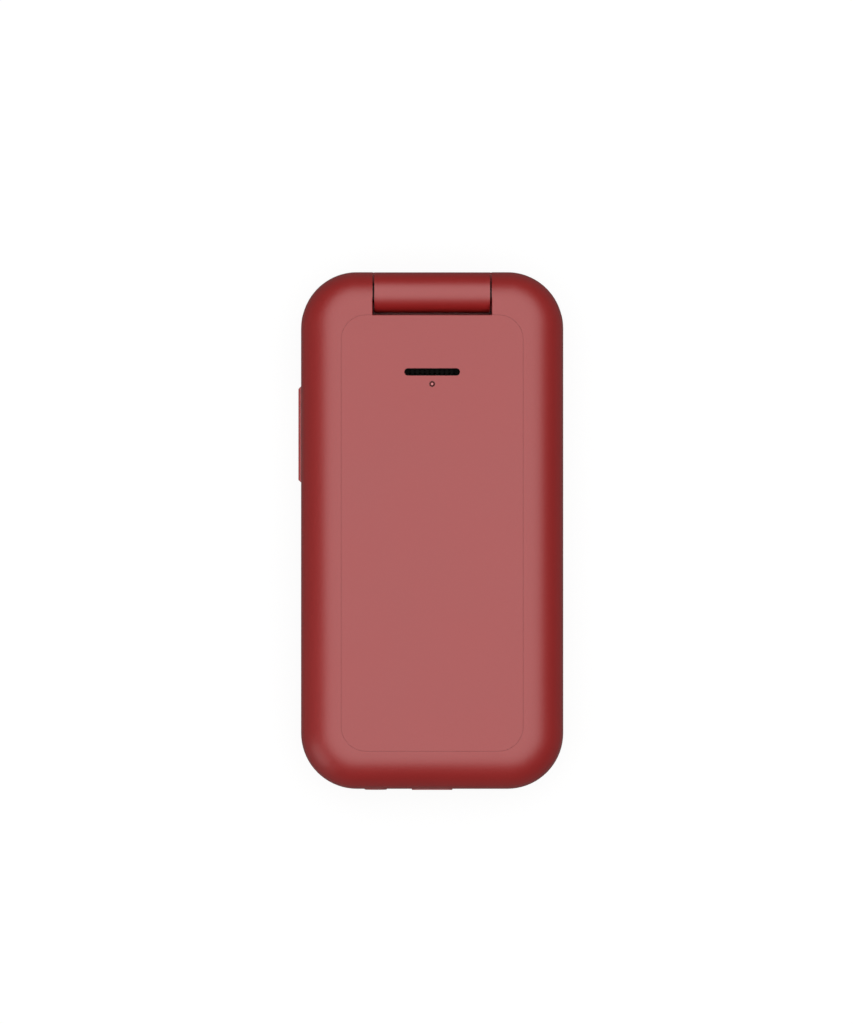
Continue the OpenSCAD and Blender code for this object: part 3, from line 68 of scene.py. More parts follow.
class Graph:
    """A material's node tree, with short calls for the nodes that are used here.

    Lengths are in millimetres. The scale of a noise is in features per metre.
    """

    def __init__(self, name):
        self.material = bpy.data.materials.new(name)
        self.material.use_nodes = True
        self.tree = self.material.node_tree
        self.tree.nodes.clear()
        self.out = self.tree.nodes.new("ShaderNodeOutputMaterial")
        self.coords = self.tree.nodes.new("ShaderNodeTexCoord").outputs["Object"]

    def node(self, kind, **settings):
        made = self.tree.nodes.new(kind)
        for key, value in settings.items():
            setattr(made, key, value)
        return made

    def link(self, a, b):
        self.tree.links.new(a, b)

    def put(self, value, socket):
        """Links a node's output to the socket, or sets the socket to a number or colour."""
        if isinstance(value, tuple) and socket.type == "RGBA":
            socket.default_value = (*value, 1.0)
        elif isinstance(value, (tuple, int, float)):
            socket.default_value = value
        else:
            self.link(value, socket)

    def stretched(self, x, y, z):
        """The object's coordinates, scaled along each axis, for rolled or fibrous surfaces."""
        made = self.node("ShaderNodeMapping")
        made.inputs["Scale"].default_value = (x, y, z)
        self.link(self.coords, made.inputs["Vector"])
        return made.outputs[0]

    def noise(self, scale, detail, rough=0.5, at=None):
        made = self.node("ShaderNodeTexNoise")
        made.inputs["Scale"].default_value = scale
        made.inputs["Detail"].default_value = detail
        made.inputs["Roughness"].default_value = rough
        self.link(at or self.coords, made.inputs["Vector"])
        return made.outputs["Fac"]

    def waves(self, pitch, axis):
        """Bands of the given pitch, from 0 to 1, that follow one axis."""
        made = self.node("ShaderNodeTexWave", wave_type="BANDS", bands_direction=axis)
        made.inputs["Scale"].default_value = math.tau / (WAVE_ANGLE * pitch * MM)
        self.link(self.coords, made.inputs["Vector"])
        return made.outputs["Fac"]

    def cells(self, scale, **settings):
        """Distance from the nearest of many scattered points."""
        made = self.node("ShaderNodeTexVoronoi", feature="F1", **settings)
        made.inputs["Scale"].default_value = scale
        self.link(self.coords, made.inputs["Vector"])
        return made.outputs["Distance"]

    def span(self, value, low, high, start=0.3, end=0.7):
        """Turns start to end into low to high. A noise stays mostly between 0.3 and 0.7."""
        made = self.node("ShaderNodeMapRange")
        made.inputs["From Min"].default_value = start
        made.inputs["From Max"].default_value = end
        made.inputs["To Min"].default_value = low
        made.inputs["To Max"].default_value = high
        self.link(value, made.inputs["Value"])
        return made.outputs["Result"]

    def above(self, length, start, end):
        """0 where a length is under start, 1 where it is over end."""
        return self.span(length, 0, 1, start * MM, end * MM)

    def below(self, length, start, end):
        """1 where a length is under start, 0 where it is over end."""
        return self.span(length, 1, 0, start * MM, end * MM)

    def math(self, kind, a, b=0.0):
        made = self.node("ShaderNodeMath", operation=kind)
        self.put(a, made.inputs[0])
        self.put(b, made.inputs[1])
        return made.outputs[0]

    def axis(self, index):
        """The object's x, y or z coordinate."""
        made = self.node("ShaderNodeSeparateXYZ")
        self.link(self.coords, made.inputs[0])
        return made.outputs[index]

    def radius(self, x, y):
        """Distance from the upright line through a point of the plan."""
        made = self.node("ShaderNodeVectorMath", operation="MULTIPLY_ADD")
        self.link(self.coords, made.inputs[0])
        made.inputs[1].default_value = (1, 1, 0)
        made.inputs[2].default_value = (-x * MM, -y * MM, 0)
        length = self.node("ShaderNodeVectorMath", operation="LENGTH")
        self.link(made.outputs[0], length.inputs[0])
        return length.outputs["Value"]

    def rings(self, radius, pitch):
        """Round waves of the given pitch, from -1 to 1."""
        return self.math("SINE", self.math("MULTIPLY", radius, math.tau / (pitch * MM)))

    def depth(self):
        """How far a point lies inside the phone's plan, from its nearest edge."""
        over = []
        for index, half in ((0, HALF_W), (1, HALF_L)):
            place = self.math("ABSOLUTE", self.axis(index))
            past = self.math("SUBTRACT", place, (half - CORNER_R) * MM)
            over.append(self.math("POWER", self.math("MAXIMUM", past), 2.0))
        out = self.math("SQRT", self.math("ADD", *over))
        return self.math("SUBTRACT", CORNER_R * MM, out)

    def rectangle(self, half, y):
        """1 inside a rectangle of the plan, with its middle at x = 0 and the given y."""
        across = self.math("ABSOLUTE", self.axis(0))
        along = self.math("ABSOLUTE", self.math("SUBTRACT", self.axis(1), y * MM))
        return self.math("MULTIPLY", self.below(across, half[0] - EDGE, half[0]),
                         self.below(along, half[1] - EDGE, half[1]))

    def mix(self, factor, a, b):
        made = self.node("ShaderNodeMix", data_type="RGBA")
        self.link(factor, made.inputs["Factor"])
        self.put(a, made.inputs[MIX_A])
        self.put(b, made.inputs[MIX_B])
        return made.outputs[MIX_OUT]

    def tones(self, noise, dark, light):
        """A colour that wanders between two tones."""
        return self.mix(self.span(noise, 0, 1), dark, light)

    def bump(self, height, deep, strength, after=None):
        made = self.node("ShaderNodeBump")
        made.inputs["Strength"].default_value = strength
        made.inputs["Distance"].default_value = deep * MM
        self.link(height, made.inputs["Height"])
        if after is not None:
            self.link(after, made.inputs["Normal"])
        return made.outputs["Normal"]

    def surface(self, **inputs):
        """The material, with the Principled shader's inputs as given: _ stands for a space."""
        made = self.node("ShaderNodeBsdfPrincipled")
        for key, value in inputs.items():
            self.put(value, made.inputs[key.replace("_", " ")])
        self.link(made.outputs[0], self.out.inputs["Surface"])
        return self.material


def shade(color, factor):
    return tuple(min(1.0, c * factor) for c in color)


def satin_paint(name, color, rough, metallic=0.0, bare_from=None, bare_to_y=None):
    """Satin lacquer on moulded plastic: faint orange peel, a fine grain and a change of tone.

    Inside the phone, above the height bare_from and up to bare_to_y, the plastic is bare.
    """
    g = Graph(name)
    cloud = g.noise(scale=55, detail=2)
    flakes = g.noise(scale=9000, detail=0)
    grain = g.noise(scale=5200, detail=1)
    sheen = g.noise(scale=30, detail=3, rough=0.6)
    peel = g.noise(scale=1300, detail=2)
    tone = g.tones(cloud, shade(color, 0.985), shade(color, 1.015))
    tone = g.mix(g.span(flakes, 0, 0.35, 0.62, 0.75), tone, shade(color, 1.25))
    gloss = g.math("ADD", g.span(sheen, rough - 0.008, rough + 0.012),
                   g.span(grain, -0.012, 0.012))
    normal = g.bump(peel, 0.010, strength=0.35)
    normal = g.bump(grain, 0.003, strength=0.5, after=normal)
    if bare_from is not None:
        bare = g.math("MULTIPLY", g.above(g.depth(), WALL - SHARP, WALL + SHARP),
                      g.above(g.axis(2), bare_from - SHARP, bare_from))
        if bare_to_y is not None:
            bare = g.math("MULTIPLY", bare, g.below(g.axis(1), bare_to_y - SHARP, bare_to_y))
        plastic = g.tones(g.noise(scale=3400, detail=3, rough=0.6),
                          (0.0105, 0.0105, 0.011), (0.0165, 0.0165, 0.0172))
        tone = g.mix(bare, tone, plastic)
        gloss = g.math("ADD", gloss, g.math("MULTIPLY", bare, 0.08))
    return g.surface(Base_Color=tone, Roughness=gloss, Metallic=metallic, IOR=LACQUER,
                     Normal=normal)


def moulded(name, color, rough, deep):
    """Spark-eroded moulded plastic: a fine even grain, slightly lighter on its peaks."""
    g = Graph(name)
    grain = g.noise(scale=5200, detail=3, rough=0.6)
    rubbed = g.noise(scale=160, detail=4, rough=0.6)
    return g.surface(Base_Color=g.tones(grain, shade(color, 0.86), shade(color, 1.16)),
                     Roughness=g.span(rubbed, rough - 0.04, rough + 0.05), IOR=PLASTIC,
                     Normal=g.bump(grain, deep, strength=0.8))


def rubber(name, color):
    """Matt rubber or silicone, with a little dust on it."""
    g = Graph(name)
    grain = g.noise(scale=3800, detail=4, rough=0.7)
    dust = g.noise(scale=500, detail=3)
    return g.surface(Base_Color=g.mix(g.span(dust, 0, 1, 0.45, 0.75), color, shade(color, 1.5)),
                     Roughness=g.span(grain, 0.62, 0.8), Normal=g.bump(grain, 0.02, strength=0.7))


def rolled_metal(name, color, rough):
    """Sheet metal with the fine lines of rolling along the phone, and faint stains."""
    g = Graph(name)
    lines = g.noise(scale=1, detail=3, rough=0.6, at=g.stretched(5200, 120, 5200))
    stain = g.noise(scale=220, detail=4, rough=0.6)
    gloss = g.math("ADD", g.span(lines, rough - 0.06, rough + 0.08),
                   g.span(stain, -0.03, 0.05))
    return g.surface(Base_Color=g.tones(stain, shade(color, 0.86), shade(color, 1.06)),
                     Roughness=gloss, Metallic=1.0, Normal=g.bump(lines, 0.004, strength=0.8))


def turned_metal(name, color, rough):
    """Small turned or stamped metal parts, with a close machined grain."""
    g = Graph(name)
    grain = g.noise(scale=2600, detail=4, rough=0.7)
    stain = g.noise(scale=420, detail=3)
    return g.surface(Base_Color=g.tones(stain, shade(color, 0.8), shade(color, 1.08)),
                     Roughness=g.span(grain, rough - 0.07, rough + 0.1), Metallic=1.0,
                     Normal=g.bump(grain, 0.004, strength=0.8))


def acoustic_mesh(name, pitch):
    """Woven black mesh: threads across both ways, with the holes between them painted darker as
    their shade.
    """
    g = Graph(name)
    threads = g.math("MAXIMUM", g.waves(pitch, "X"), g.waves(pitch, "Y"))
    fluff = g.noise(scale=4200, detail=3)
    # Between the threads the colour is darker: painted shade in the holes
    color = g.mix(g.span(threads, 0, 1, 0.55, 0.9),
                  (0.0015, 0.0016, 0.0014), (0.006, 0.0066, 0.0056))
    color = g.mix(g.span(fluff, 0, 0.4, 0.5, 0.8), color, (0.009, 0.0095, 0.0088))
    return g.surface(Base_Color=color, Roughness=g.span(fluff, 0.62, 0.8),
                     Specular_IOR_Level=0.06, Normal=g.bump(threads, 0.05, strength=0.9))


def felt(name):
    """Black cloth and paper of a loudspeaker's face, which takes up the light."""
    g = Graph(name)
    fibre = g.noise(scale=5200, detail=4, rough=0.7)
    return g.surface(Base_Color=g.tones(fibre, (0.002, 0.002, 0.0021), (0.006, 0.006, 0.0063)),
                     Roughness=g.span(fibre, 0.8, 0.95), Specular_IOR_Level=0.05,
                     Normal=g.bump(fibre, 0.03, strength=0.8))


def circuit_board(name):
    """Green solder mask over copper: lines under the mask, and small tinned pads."""
    g = Graph(name)
    lanes = g.cells(scale=420, distance="CHEBYCHEV")
    tracks = g.math("MULTIPLY", g.waves(0.6, "X"), g.span(lanes, 0, 1, 0.2, 0.5))
    pad = g.span(g.cells(scale=330), 1, 0, 0.13, 0.16)
    mask = g.mix(g.span(tracks, 0, 1, 0.45, 0.6), (0.006, 0.05, 0.018), (0.014, 0.105, 0.035))
    gloss = g.noise(scale=900, detail=3)
    return g.surface(Base_Color=g.mix(pad, mask, (0.62, 0.60, 0.55)),
                     Roughness=g.span(gloss, 0.28, 0.4), Metallic=pad,
                     Normal=g.bump(g.math("ADD", tracks, pad), 0.02, strength=0.6))


def flex_film(name):
    """Amber film with narrow copper lines under it."""
    g = Graph(name)
    lines = g.waves(0.3, "X")
    gloss = g.noise(scale=700, detail=3)
    color = g.mix(g.span(lines, 0, 1, 0.5, 0.6), (0.26, 0.075, 0.008), (0.42, 0.16, 0.035))
    return g.surface(Base_Color=color, Roughness=g.span(gloss, 0.25, 0.38),
                     Normal=g.bump(lines, 0.012, strength=0.7))


def display_cover(name):
    """Clear window over a dark display: black printed border, a shade lighter inside it."""
    g = Graph(name)
    cells = g.math("MULTIPLY", g.waves(0.18, "X"), g.waves(0.18, "Y"))
    picture = g.mix(cells, (0.0075, 0.008, 0.0095), (0.0105, 0.0115, 0.0135))
    color = g.mix(g.rectangle(PICTURE_HALF, DISPLAY_Y), (0.0022, 0.0022, 0.0025), picture)
    touched = g.noise(scale=75, detail=5, rough=0.65)
    swell = g.noise(scale=35, detail=1)
    return g.surface(Base_Color=color, Roughness=g.span(touched, 0.035, 0.085, 0.35, 0.75),
                     IOR=GLASS, Normal=g.bump(swell, 0.01, strength=0.3))


def camera_cover(name):
    """Round window of the camera: black print with a grey line round a clear middle."""
    g = Graph(name)
    r = g.radius(0, CAMERA_Y)
    clear = g.below(r, CLEAR_R - EDGE, CLEAR_R)
    line = g.math("MULTIPLY", g.above(r, LINE_R[0], LINE_R[0] + EDGE),
                  g.below(r, LINE_R[1] - EDGE, LINE_R[1]))
    smear = g.noise(scale=300, detail=4)
    color = g.mix(line, (0.003, 0.003, 0.0034), (0.09, 0.09, 0.095))
    return g.surface(Base_Color=g.mix(clear, color, (0.93, 0.95, 0.97)),
                     Roughness=g.span(smear, 0.02, 0.06), IOR=GLASS, Transmission_Weight=clear,
                     Normal=g.bump(smear, 0.002, strength=0.3))


def light_pipe(name):
    """Tinted pipe of the status light: a pink core, made lighter as a painted highlight, ringed by
    dark red that is painted shade of the hole round it.
    """
    g = Graph(name)
    cloud = g.noise(scale=2600, detail=3)
    core = g.below(g.radius(0, STATUS_Y), STATUS_R - 2 * SHARP, STATUS_R + 2 * SHARP)
    # The core's pink is lightened as a painted highlight on the pipe
    core_tint_and_highlight = g.tones(cloud, (0.60, 0.22, 0.22), (0.68, 0.26, 0.26))
    # Round the core, the dark red is painted shade of the hole's wall
    return g.surface(Base_Color=g.mix(core, (0.055, 0.0008, 0.0008), core_tint_and_highlight),
                     Roughness=g.span(cloud, 0.3, 0.4), Specular_IOR_Level=0.03,
                     Normal=g.bump(cloud, 0.004, strength=0.4))


def lens_face(name):
    """Front of the camera module: coated glass in a stepped black barrel."""
    g = Graph(name)
    r = g.radius(0, CAMERA_Y)
    grain = g.noise(scale=3200, detail=3)
    glass = g.below(r, LENS_R - SHARP, LENS_R)
    coat = g.mix(g.above(r, 0.1, 0.6), (0.004, 0.006, 0.016), (0.016, 0.006, 0.022))
    barrel = g.tones(grain, (0.006, 0.006, 0.0065), (0.012, 0.012, 0.013))
    steps = g.math("MULTIPLY", g.rings(r, 0.22), g.span(glass, 1, 0, 0, 1))
    return g.surface(Base_Color=g.mix(glass, barrel, coat),
                     Roughness=g.span(glass, 0.42, 0.03, 0, 1),
                     Normal=g.bump(steps, 0.05, strength=0.8))


def torch_lens(name):
    """Clear lens with the yellow lamp and its rings showing through."""
    g = Graph(name)
    r = g.radius(TORCH_X, CAMERA_Y)
    dots = g.noise(scale=2400, detail=2)
    color = g.mix(g.below(r, 0.5, TORCH_R), (0.62, 0.62, 0.6), (0.78, 0.66, 0.16))
    color = g.mix(g.span(dots, 0, 0.15), color, (0.4, 0.4, 0.38))
    return g.surface(Base_Color=color, Roughness=g.span(dots, 0.1, 0.2), IOR=ACRYLIC,
                     Normal=g.bump(g.rings(r, 0.28), 0.03, strength=0.8))


def battery_wrap(name):
    """Dark plastic film shrunk on the battery, with a paler paper label left blank."""
    g = Graph(name)
    label = g.rectangle(LABEL_HALF, BATTERY_Y)
    crease = g.noise(scale=140, detail=5, rough=0.65)
    fibre = g.noise(scale=1, detail=3, rough=0.6, at=g.stretched(900, 3800, 900))
    film = g.tones(crease, (0.012, 0.012, 0.014), (0.026, 0.026, 0.029))
    paper = g.tones(fibre, (0.42, 0.42, 0.43), (0.5, 0.5, 0.51))
    gloss = g.math("ADD", g.span(crease, 0.3, 0.42), g.math("MULTIPLY", label, 0.18))
    normal = g.bump(crease, 0.05, strength=0.5)
    normal = g.bump(label, 0.05, strength=1.0, after=normal)
    normal = g.bump(fibre, 0.004, strength=0.6, after=normal)
    return g.surface(Base_Color=g.mix(label, film, paper), Roughness=gloss, Normal=normal)


def socket_body(name, inner):
    """Socket whose outer lip is lacquered red as the phone is, a third lighter as a painted
    highlight, and whose inside is as given.
    """
    g = Graph(name)
    outside = g.below(g.axis(1), LIP_Y, LIP_Y + EDGE)
    grain = g.noise(scale=2600, detail=3)
    # The lip's red is lighter than the body's red: a painted highlight on the lip's edge
    color = g.mix(outside, inner, shade(RED_COLOR, 1.3))
    color = g.mix(g.span(grain, 0, 0.12), color, (0.02, 0.02, 0.02))
    return g.surface(Base_Color=color, Roughness=g.span(grain, 0.3, 0.42), IOR=LACQUER,
                     Normal=g.bump(grain, 0.004, strength=0.6))


def contact_block(name, pitch, half):
    """Black block with gold springs in it, at an even pitch and of the given half width."""
    g = Graph(name)
    grain = g.noise(scale=3000, detail=3)
    offset = g.math("PINGPONG", g.axis(0), pitch / 2 * MM)
    spring = g.below(offset, half - SHARP, half + SHARP)
    black = g.tones(grain, (0.011, 0.011, 0.0115), (0.017, 0.017, 0.018))
    gold = g.tones(grain, (0.80, 0.52, 0.19), (0.88, 0.62, 0.26))
    raised = g.math("ADD", g.math("MULTIPLY", spring, 4.0), grain)
    return g.surface(Base_Color=g.mix(spring, black, gold), Roughness=g.span(grain, 0.3, 0.45),
                     Metallic=spring, Normal=g.bump(raised, 0.01, strength=0.8))


def ink(name, color):
    """Ink printed on a key: even, with the key's grain showing through."""
    g = Graph(name)
    grain = g.noise(scale=5200, detail=3, rough=0.6)
    return g.surface(Base_Color=g.tones(grain, shade(color, 0.9), color),
                     Roughness=g.span(grain, 0.38, 0.5), Normal=g.bump(grain, 0.005, strength=0.7))


RED_COLOR = (0.295, 0.0115, 0.0105)
RED_FINISH = {"rough": 0.42, "metallic": 0.04}
KEYS = tuple(name for name in NODES if name.startswith("key_") and name != "key_ok")

# Each finish and the nodes that have it
FINISHES = (
    (satin_paint("satin_red_lacquer", RED_COLOR, **RED_FINISH),
     ("lid_cover", "lid_panel", "display_bezel", "lid_screw_caps", "keypad_cover")),
    (satin_paint("satin_red_housing", RED_COLOR, **RED_FINISH,
                 bare_from=COVER_T - 0.1, bare_to_y=COVER_Y - 0.1), ("rear_housing",)),
    (satin_paint("satin_red_battery_cover", RED_COLOR, **RED_FINISH,
                 bare_from=COVER_T - 0.05), ("battery_cover",)),
    # The side key's red is half again as light as the body's: a painted highlight
    (satin_paint("side_key_lacquer_with_painted_highlight", shade(RED_COLOR, 1.5), rough=0.3), ("volume_key",)),
    (satin_paint("satin_silver_lacquer", (0.46, 0.46, 0.47), rough=0.34, metallic=0.6),
     ("key_ok",)),
    (moulded("charcoal_keys", (0.0125, 0.0125, 0.0135), rough=0.42, deep=0.007), KEYS),
    (moulded("display_glass_edge", (0.02, 0.022, 0.026), rough=0.2, deep=0.002),
     ("display_module",)),
    (display_cover("display_window_glass"), ("display_window",)),
    (rolled_metal("rolled_steel_sheet", (0.60, 0.60, 0.61), rough=0.3),
     ("display_frame", "shield_can", "card_holders", "dome_sheet")),
    (turned_metal("zinc_plated_steel", (0.50, 0.50, 0.51), rough=0.33),
     ("lid_screws", "lid_magnet", "base_screws", "vibration_motor", "side_switches")),
    (turned_metal("blackened_steel", (0.035, 0.034, 0.034), rough=0.45),
     ("hinge_cam", "hinge_sleeve", "hinge_capsule")),
    (turned_metal("gold_plating", (0.85, 0.58, 0.22), rough=0.25), ("microphone",)),
    (contact_block("battery_contact_block", pitch=2.8, half=0.62), ("battery_contacts",)),
    (socket_body("charging_socket_shell", inner=(0.11, 0.11, 0.115)), ("usb_connector",)),
    (socket_body("audio_socket_body", inner=(0.01, 0.01, 0.011)), ("audio_jack",)),
    (rubber("black_rubber", (0.014, 0.014, 0.015)), ("lid_bumpers",)),
    (rubber("grey_silicone", (0.12, 0.12, 0.125)), ("keymat",)),
    (circuit_board("green_circuit_board"), ("lid_board", "main_board")),
    (flex_film("amber_flex_film"), ("display_flex", "hinge_flex", "antenna")),
    (felt("black_felt"), ("loudspeaker", "earpiece")),
    (acoustic_mesh("woven_acoustic_mesh", pitch=0.24), ("speaker_mesh", "earpiece_mesh")),
    (light_pipe("status_light_plastic"), ("status_light_pipe",)),
    (camera_cover("camera_window_glass"), ("camera_window",)),
    (lens_face("camera_lens"), ("camera_module",)),
    (torch_lens("torch_lens"), ("torch_led",)),
    (battery_wrap("battery_film_and_label"), ("battery",)),
)
for material, names in FINISHES:
    for name in names:
        slots = NODES[name].data.materials
        slots.clear()
        slots.append(material)

# ---------------------------------------------------------------- prints on the keys

PRINT_T = 0.03  # how far a print stands up from its key
DIGIT_H = 4.2
FONT_SIZE = 1.38  # size of Blender's font for a digit of height 1
FONT_BOLD = 0.045
FONT_STEPS = 6
CORNER_CUT = 0.2  # share of an edge that rounding takes off at each end


def add_print(key, mesh, material):
    """Adds a print that rides on its key."""
    mesh.materials.clear()
    mesh.materials.append(material)
    piece = bpy.data.objects.new("print_" + key, mesh)
    bpy.context.scene.collection.objects.link(piece)
    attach(piece, key)


def print_outlines(key, outlines, material):
    """Prints closed outlines, in millimetres and all turning the same way, on the key's top."""
    verts, faces = [], []
    for outline in outlines:
        n, start = len(outline), len(verts)
        verts += [(x * MM, y * MM, (KEY_TOP - PRINT_T) * MM) for x, y in outline]
        verts += [(x * MM, y * MM, (KEY_TOP + PRINT_T) * MM) for x, y in outline]
        faces.append(tuple(start + n + i for i in range(n)))
        faces.append(tuple(start + i for i in reversed(range(n))))
        faces += [(start + i, start + (i + 1) % n, start + n + (i + 1) % n, start + n + i)
                  for i in range(n)]
    mesh = bpy.data.meshes.new("print_" + key)
    mesh.from_pydata(verts, [], faces)
    mesh.validate()
    add_print(key, mesh, material)


def print_text(key, text, x, y, material):
    """Prints a digit or sign in Blender's own font on the key's top, centred on x and y."""
    curve = bpy.data.curves.new("text", "FONT")
    curve.body = text
    curve.size = DIGIT_H * FONT_SIZE * MM
    curve.align_x = "CENTER"
    curve.align_y = "CENTER"
    curve.offset = FONT_BOLD * MM
    curve.extrude = PRINT_T * MM
    curve.resolution_u = FONT_STEPS
    letter = bpy.data.objects.new("text", curve)
    bpy.context.scene.collection.objects.link(letter)
    bpy.context.view_layer.update()
    depsgraph = bpy.context.evaluated_depsgraph_get()
    mesh = bpy.data.meshes.new_from_object(letter.evaluated_get(depsgraph))
    bpy.data.objects.remove(letter)
    bpy.data.curves.remove(curve)
    mesh.name = "print_" + key
    xs = [v.co.x for v in mesh.vertices]
    ys = [v.co.y for v in mesh.vertices]
    middle = Vector(((min(xs) + max(xs)) / 2, (min(ys) + max(ys)) / 2, 0))
    place = Vector((x, y, KEY_TOP)) * MM
    for v in mesh.vertices:
        v.co = v.co - middle + place
    add_print(key, mesh, material)


def rounded(points, cuts):
    """The closed outline with its corners cut back a few times, as a smooth curve."""
    for _ in range(cuts):
        after = points[1:] + points[:1]
        points = [(a[0] * (1 - t) + b[0] * t, a[1] * (1 - t) + b[1] * t)
                  for a, b in zip(points, after) for t in (CORNER_CUT, 1 - CORNER_CUT)]
    return points


def placed(points, degrees, x, y):
    """The outline, turned about its middle, with its middle at x and y."""
    c, s = math.cos(math.radians(degrees)), math.sin(math.radians(degrees))
    return [(x + px * c - py * s, y + px * s + py * c) for px, py in points]


def arc(radius, drop, degrees):
    """Points of an arc whose centre lies the given drop below the sign's middle."""
    return [(radius * math.cos(a), radius * math.sin(a) - drop)
            for a in map(math.radians, degrees)]


WHITE_INK = ink("white_ink", (0.78, 0.78, 0.76))
GREEN_INK = ink("green_ink", (0.05, 0.42, 0.10))
RED_INK = ink("red_ink", (0.62, 0.035, 0.025))

SIGN_KEYS = {"*": "key_star", "#": "key_hash"}
for row, digits in enumerate(("123", "456", "789", "*0#")):
    for column, digit in enumerate(digits):
        print_text(SIGN_KEYS.get(digit, "key_" + digit), digit,
                   (column - 1) * COLUMN_X, ROW_Y[row], WHITE_INK)

# Handset sign: an arch with two feet. It slants on the call key and lies flat on the end key
ARCH_OUT, ARCH_IN, ARCH_DROP = 2.45, 1.55, 1.3
FOOT_IN, FOOT_Y = 1.25, -1.05
handset = rounded(arc(ARCH_OUT, ARCH_DROP, range(28, 153, 8))
                  + [(-ARCH_OUT, FOOT_Y), (-FOOT_IN, FOOT_Y)]
                  + arc(ARCH_IN, ARCH_DROP, range(142, 37, -8))
                  + [(FOOT_IN, FOOT_Y), (ARCH_OUT, FOOT_Y)], 2)
print_outlines("key_call", [placed(handset, 135, -SIDE_KEY_X, CALL_KEY_Y)], GREEN_INK)
print_outlines("key_end", [placed(handset, 0, SIDE_KEY_X, CALL_KEY_Y)], RED_INK)

# Dashes of the two soft keys
DASH_W, DASH_H = 1.7, 0.28
dash = rounded([(-DASH_W, -DASH_H), (DASH_W, -DASH_H), (DASH_W, DASH_H), (-DASH_W, DASH_H)], 3)
print_outlines("key_soft_left", [placed(dash, 0, -SIDE_KEY_X, SOFT_KEY_Y)], WHITE_INK)
print_outlines("key_soft_right", [placed(dash, 0, SIDE_KEY_X, SOFT_KEY_Y)], WHITE_INK)

# Four arrowheads on the ring, on a circle of radius ARROW_R
ARROW_R = 7.3
arrow = rounded([(0.65, 0.0), (-0.45, 0.85), (-0.45, -0.85)], 2)
print_outlines("key_ring", [placed(arrow, turn, ARROW_R * math.cos(math.radians(turn)),
                                   RING_Y + ARROW_R * math.sin(math.radians(turn)))
                            for turn in range(0, 360, 90)], WHITE_INK)

# ---------------------------------------------------------------- stage and light

FLOOR_R, FLOOR_SIDES = 12.0, 64
FLOOR_Z = -0.02 * MM
# How bright the floor looks to the camera and through glass, and how bright in reflections
FLOOR_WHITE, FLOOR_GLOSS = 0.9, 0.1
# The world's part in reflections, and its weak fill on the phone, which is weaker from the right
WORLD_GLOSS, FILL, FILL_LEAN = 0.08, 0.025, -0.02


def floor_material():
    """Pale floor that camera and glass see as white, and that keeps the phone's shadow.

    It is clear from below, and to shadow rays, so that the lamp under it lights the back.
    """
    g = Graph("pale_floor")
    diffuse = g.node("ShaderNodeBsdfDiffuse")
    speck = g.noise(scale=40, detail=2)
    g.link(g.mix(speck, (0.11, 0.11, 0.11), (0.12, 0.12, 0.12)), diffuse.inputs["Color"])
    path = g.node("ShaderNodeLightPath").outputs
    seen = g.math("MAXIMUM", path["Is Camera Ray"], path["Is Transmission Ray"])
    seen = g.math("MAXIMUM", g.math("MULTIPLY", seen, FLOOR_WHITE),
                  g.math("MULTIPLY", path["Is Glossy Ray"], FLOOR_GLOSS))
    white = g.node("ShaderNodeEmission")
    g.link(seen, white.inputs["Strength"])
    both = g.node("ShaderNodeAddShader")
    g.link(diffuse.outputs[0], both.inputs[0])
    g.link(white.outputs[0], both.inputs[1])
    clear = g.node("ShaderNodeBsdfTransparent")
    under = g.node("ShaderNodeNewGeometry").outputs["Backfacing"]
    sides = g.node("ShaderNodeMixShader")
    g.link(g.math("MAXIMUM", under, path["Is Shadow Ray"]), sides.inputs["Fac"])
    g.link(both.outputs[0], sides.inputs[1])
    g.link(clear.outputs[0], sides.inputs[2])
    g.link(sides.outputs[0], g.out.inputs["Surface"])
    return g.material


corners = [math.tau * i / FLOOR_SIDES for i in range(FLOOR_SIDES)]
floor_mesh = bpy.data.meshes.new("floor")
floor_mesh.from_pydata([(FLOOR_R * math.cos(a), FLOOR_R * math.sin(a), FLOOR_Z) for a in corners],
                       [], [tuple(range(FLOOR_SIDES))])
floor_mesh.materials.append(floor_material())
floor = bpy.data.objects.new("floor", floor_mesh)
bpy.context.scene.collection.objects.link(floor)

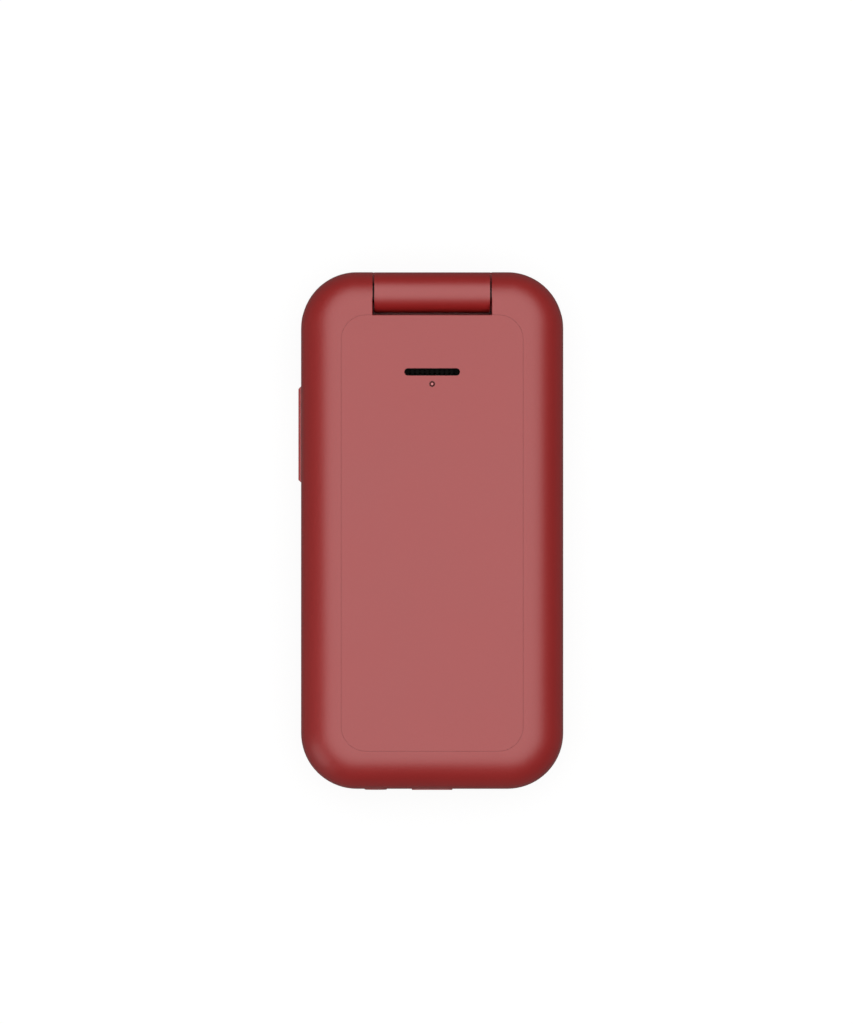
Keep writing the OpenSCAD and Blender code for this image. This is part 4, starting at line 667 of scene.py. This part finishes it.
# Soft disk lamps: name, diameter in metres, radiance, and place. All look at the phone.
LAMPS = (
    ("overhead_softbox", 1.35, 2.1, (0.03, 0.05, 0.7)),
    ("lamp_below", 1.2, 1.9, (0.05, -0.05, -0.75)),
    # A weak one near the floor, for the gleam on the free end's left corner
    ("low_reflector", 0.55, 1.35, (-0.735, -0.478, 0.24)),
)
for name, size, radiance, place in LAMPS:
    data = bpy.data.lights.new(name, "AREA")
    data.shape = "DISK"
    data.size = size
    data.energy = radiance * math.pi * math.pi * size * size / 4
    light = bpy.data.objects.new(name, data)
    bpy.context.scene.collection.objects.link(light)
    light.location = place
    light.rotation_euler = (-Vector(place)).to_track_quat("-Z", "Y").to_euler()
    light.visible_camera = False

world = bpy.data.worlds.new("studio")
world.use_nodes = True
tree = world.node_tree


def world_math(operation, *values):
    """A math node of the world's tree, fed with outputs or numbers."""
    made = tree.nodes.new("ShaderNodeMath")
    made.operation = operation
    for value, socket in zip(values, made.inputs):
        if isinstance(value, float):
            socket.default_value = value
        else:
            tree.links.new(value, socket)
    return made


rays = tree.nodes.new("ShaderNodeLightPath").outputs
side = tree.nodes.new("ShaderNodeSeparateXYZ")
tree.links.new(tree.nodes.new("ShaderNodeTexCoord").outputs["Generated"], side.inputs[0])
fill = world_math("MULTIPLY_ADD", side.outputs["X"], FILL_LEAN, FILL)
gloss = world_math("MULTIPLY_ADD", rays["Is Glossy Ray"], WORLD_GLOSS, fill.outputs[0])
direct = world_math("MAXIMUM", rays["Is Camera Ray"], rays["Is Transmission Ray"])
total = world_math("ADD", direct.outputs[0], gloss.outputs[0])
total.use_clamp = True
backdrop = tree.nodes["Background"]
backdrop.inputs["Color"].default_value = (1, 1, 1, 1)
tree.links.new(total.outputs[0], backdrop.inputs["Strength"])
bpy.context.scene.world = world

# ---------------------------------------------------------------- camera

PIXEL = 0.20408 * MM  # one pixel of the photograph, at the height of the phone's outline
OUTLINE_Z = 12 * MM
FAR = 2.5
PICTURE_H = 1024
SENSOR = 24
MIDDLE = (-5.65, 18.55)  # the picture's middle, in pixels from the phone's own
camera_data = bpy.data.cameras.new("camera")
camera_data.sensor_fit = "VERTICAL"
camera_data.sensor_height = SENSOR
camera_data.lens = SENSOR * (FAR - OUTLINE_Z) / (PICTURE_H * PIXEL)
camera_data.clip_start = 0.01
camera_data.clip_end = 50
camera = bpy.data.objects.new("camera", camera_data)
camera.location = (MIDDLE[0] * PIXEL, MIDDLE[1] * PIXEL, FAR)
bpy.context.scene.collection.objects.link(camera)
bpy.context.scene.camera = camera
bpy.context.scene.view_settings.view_transform = "Standard"
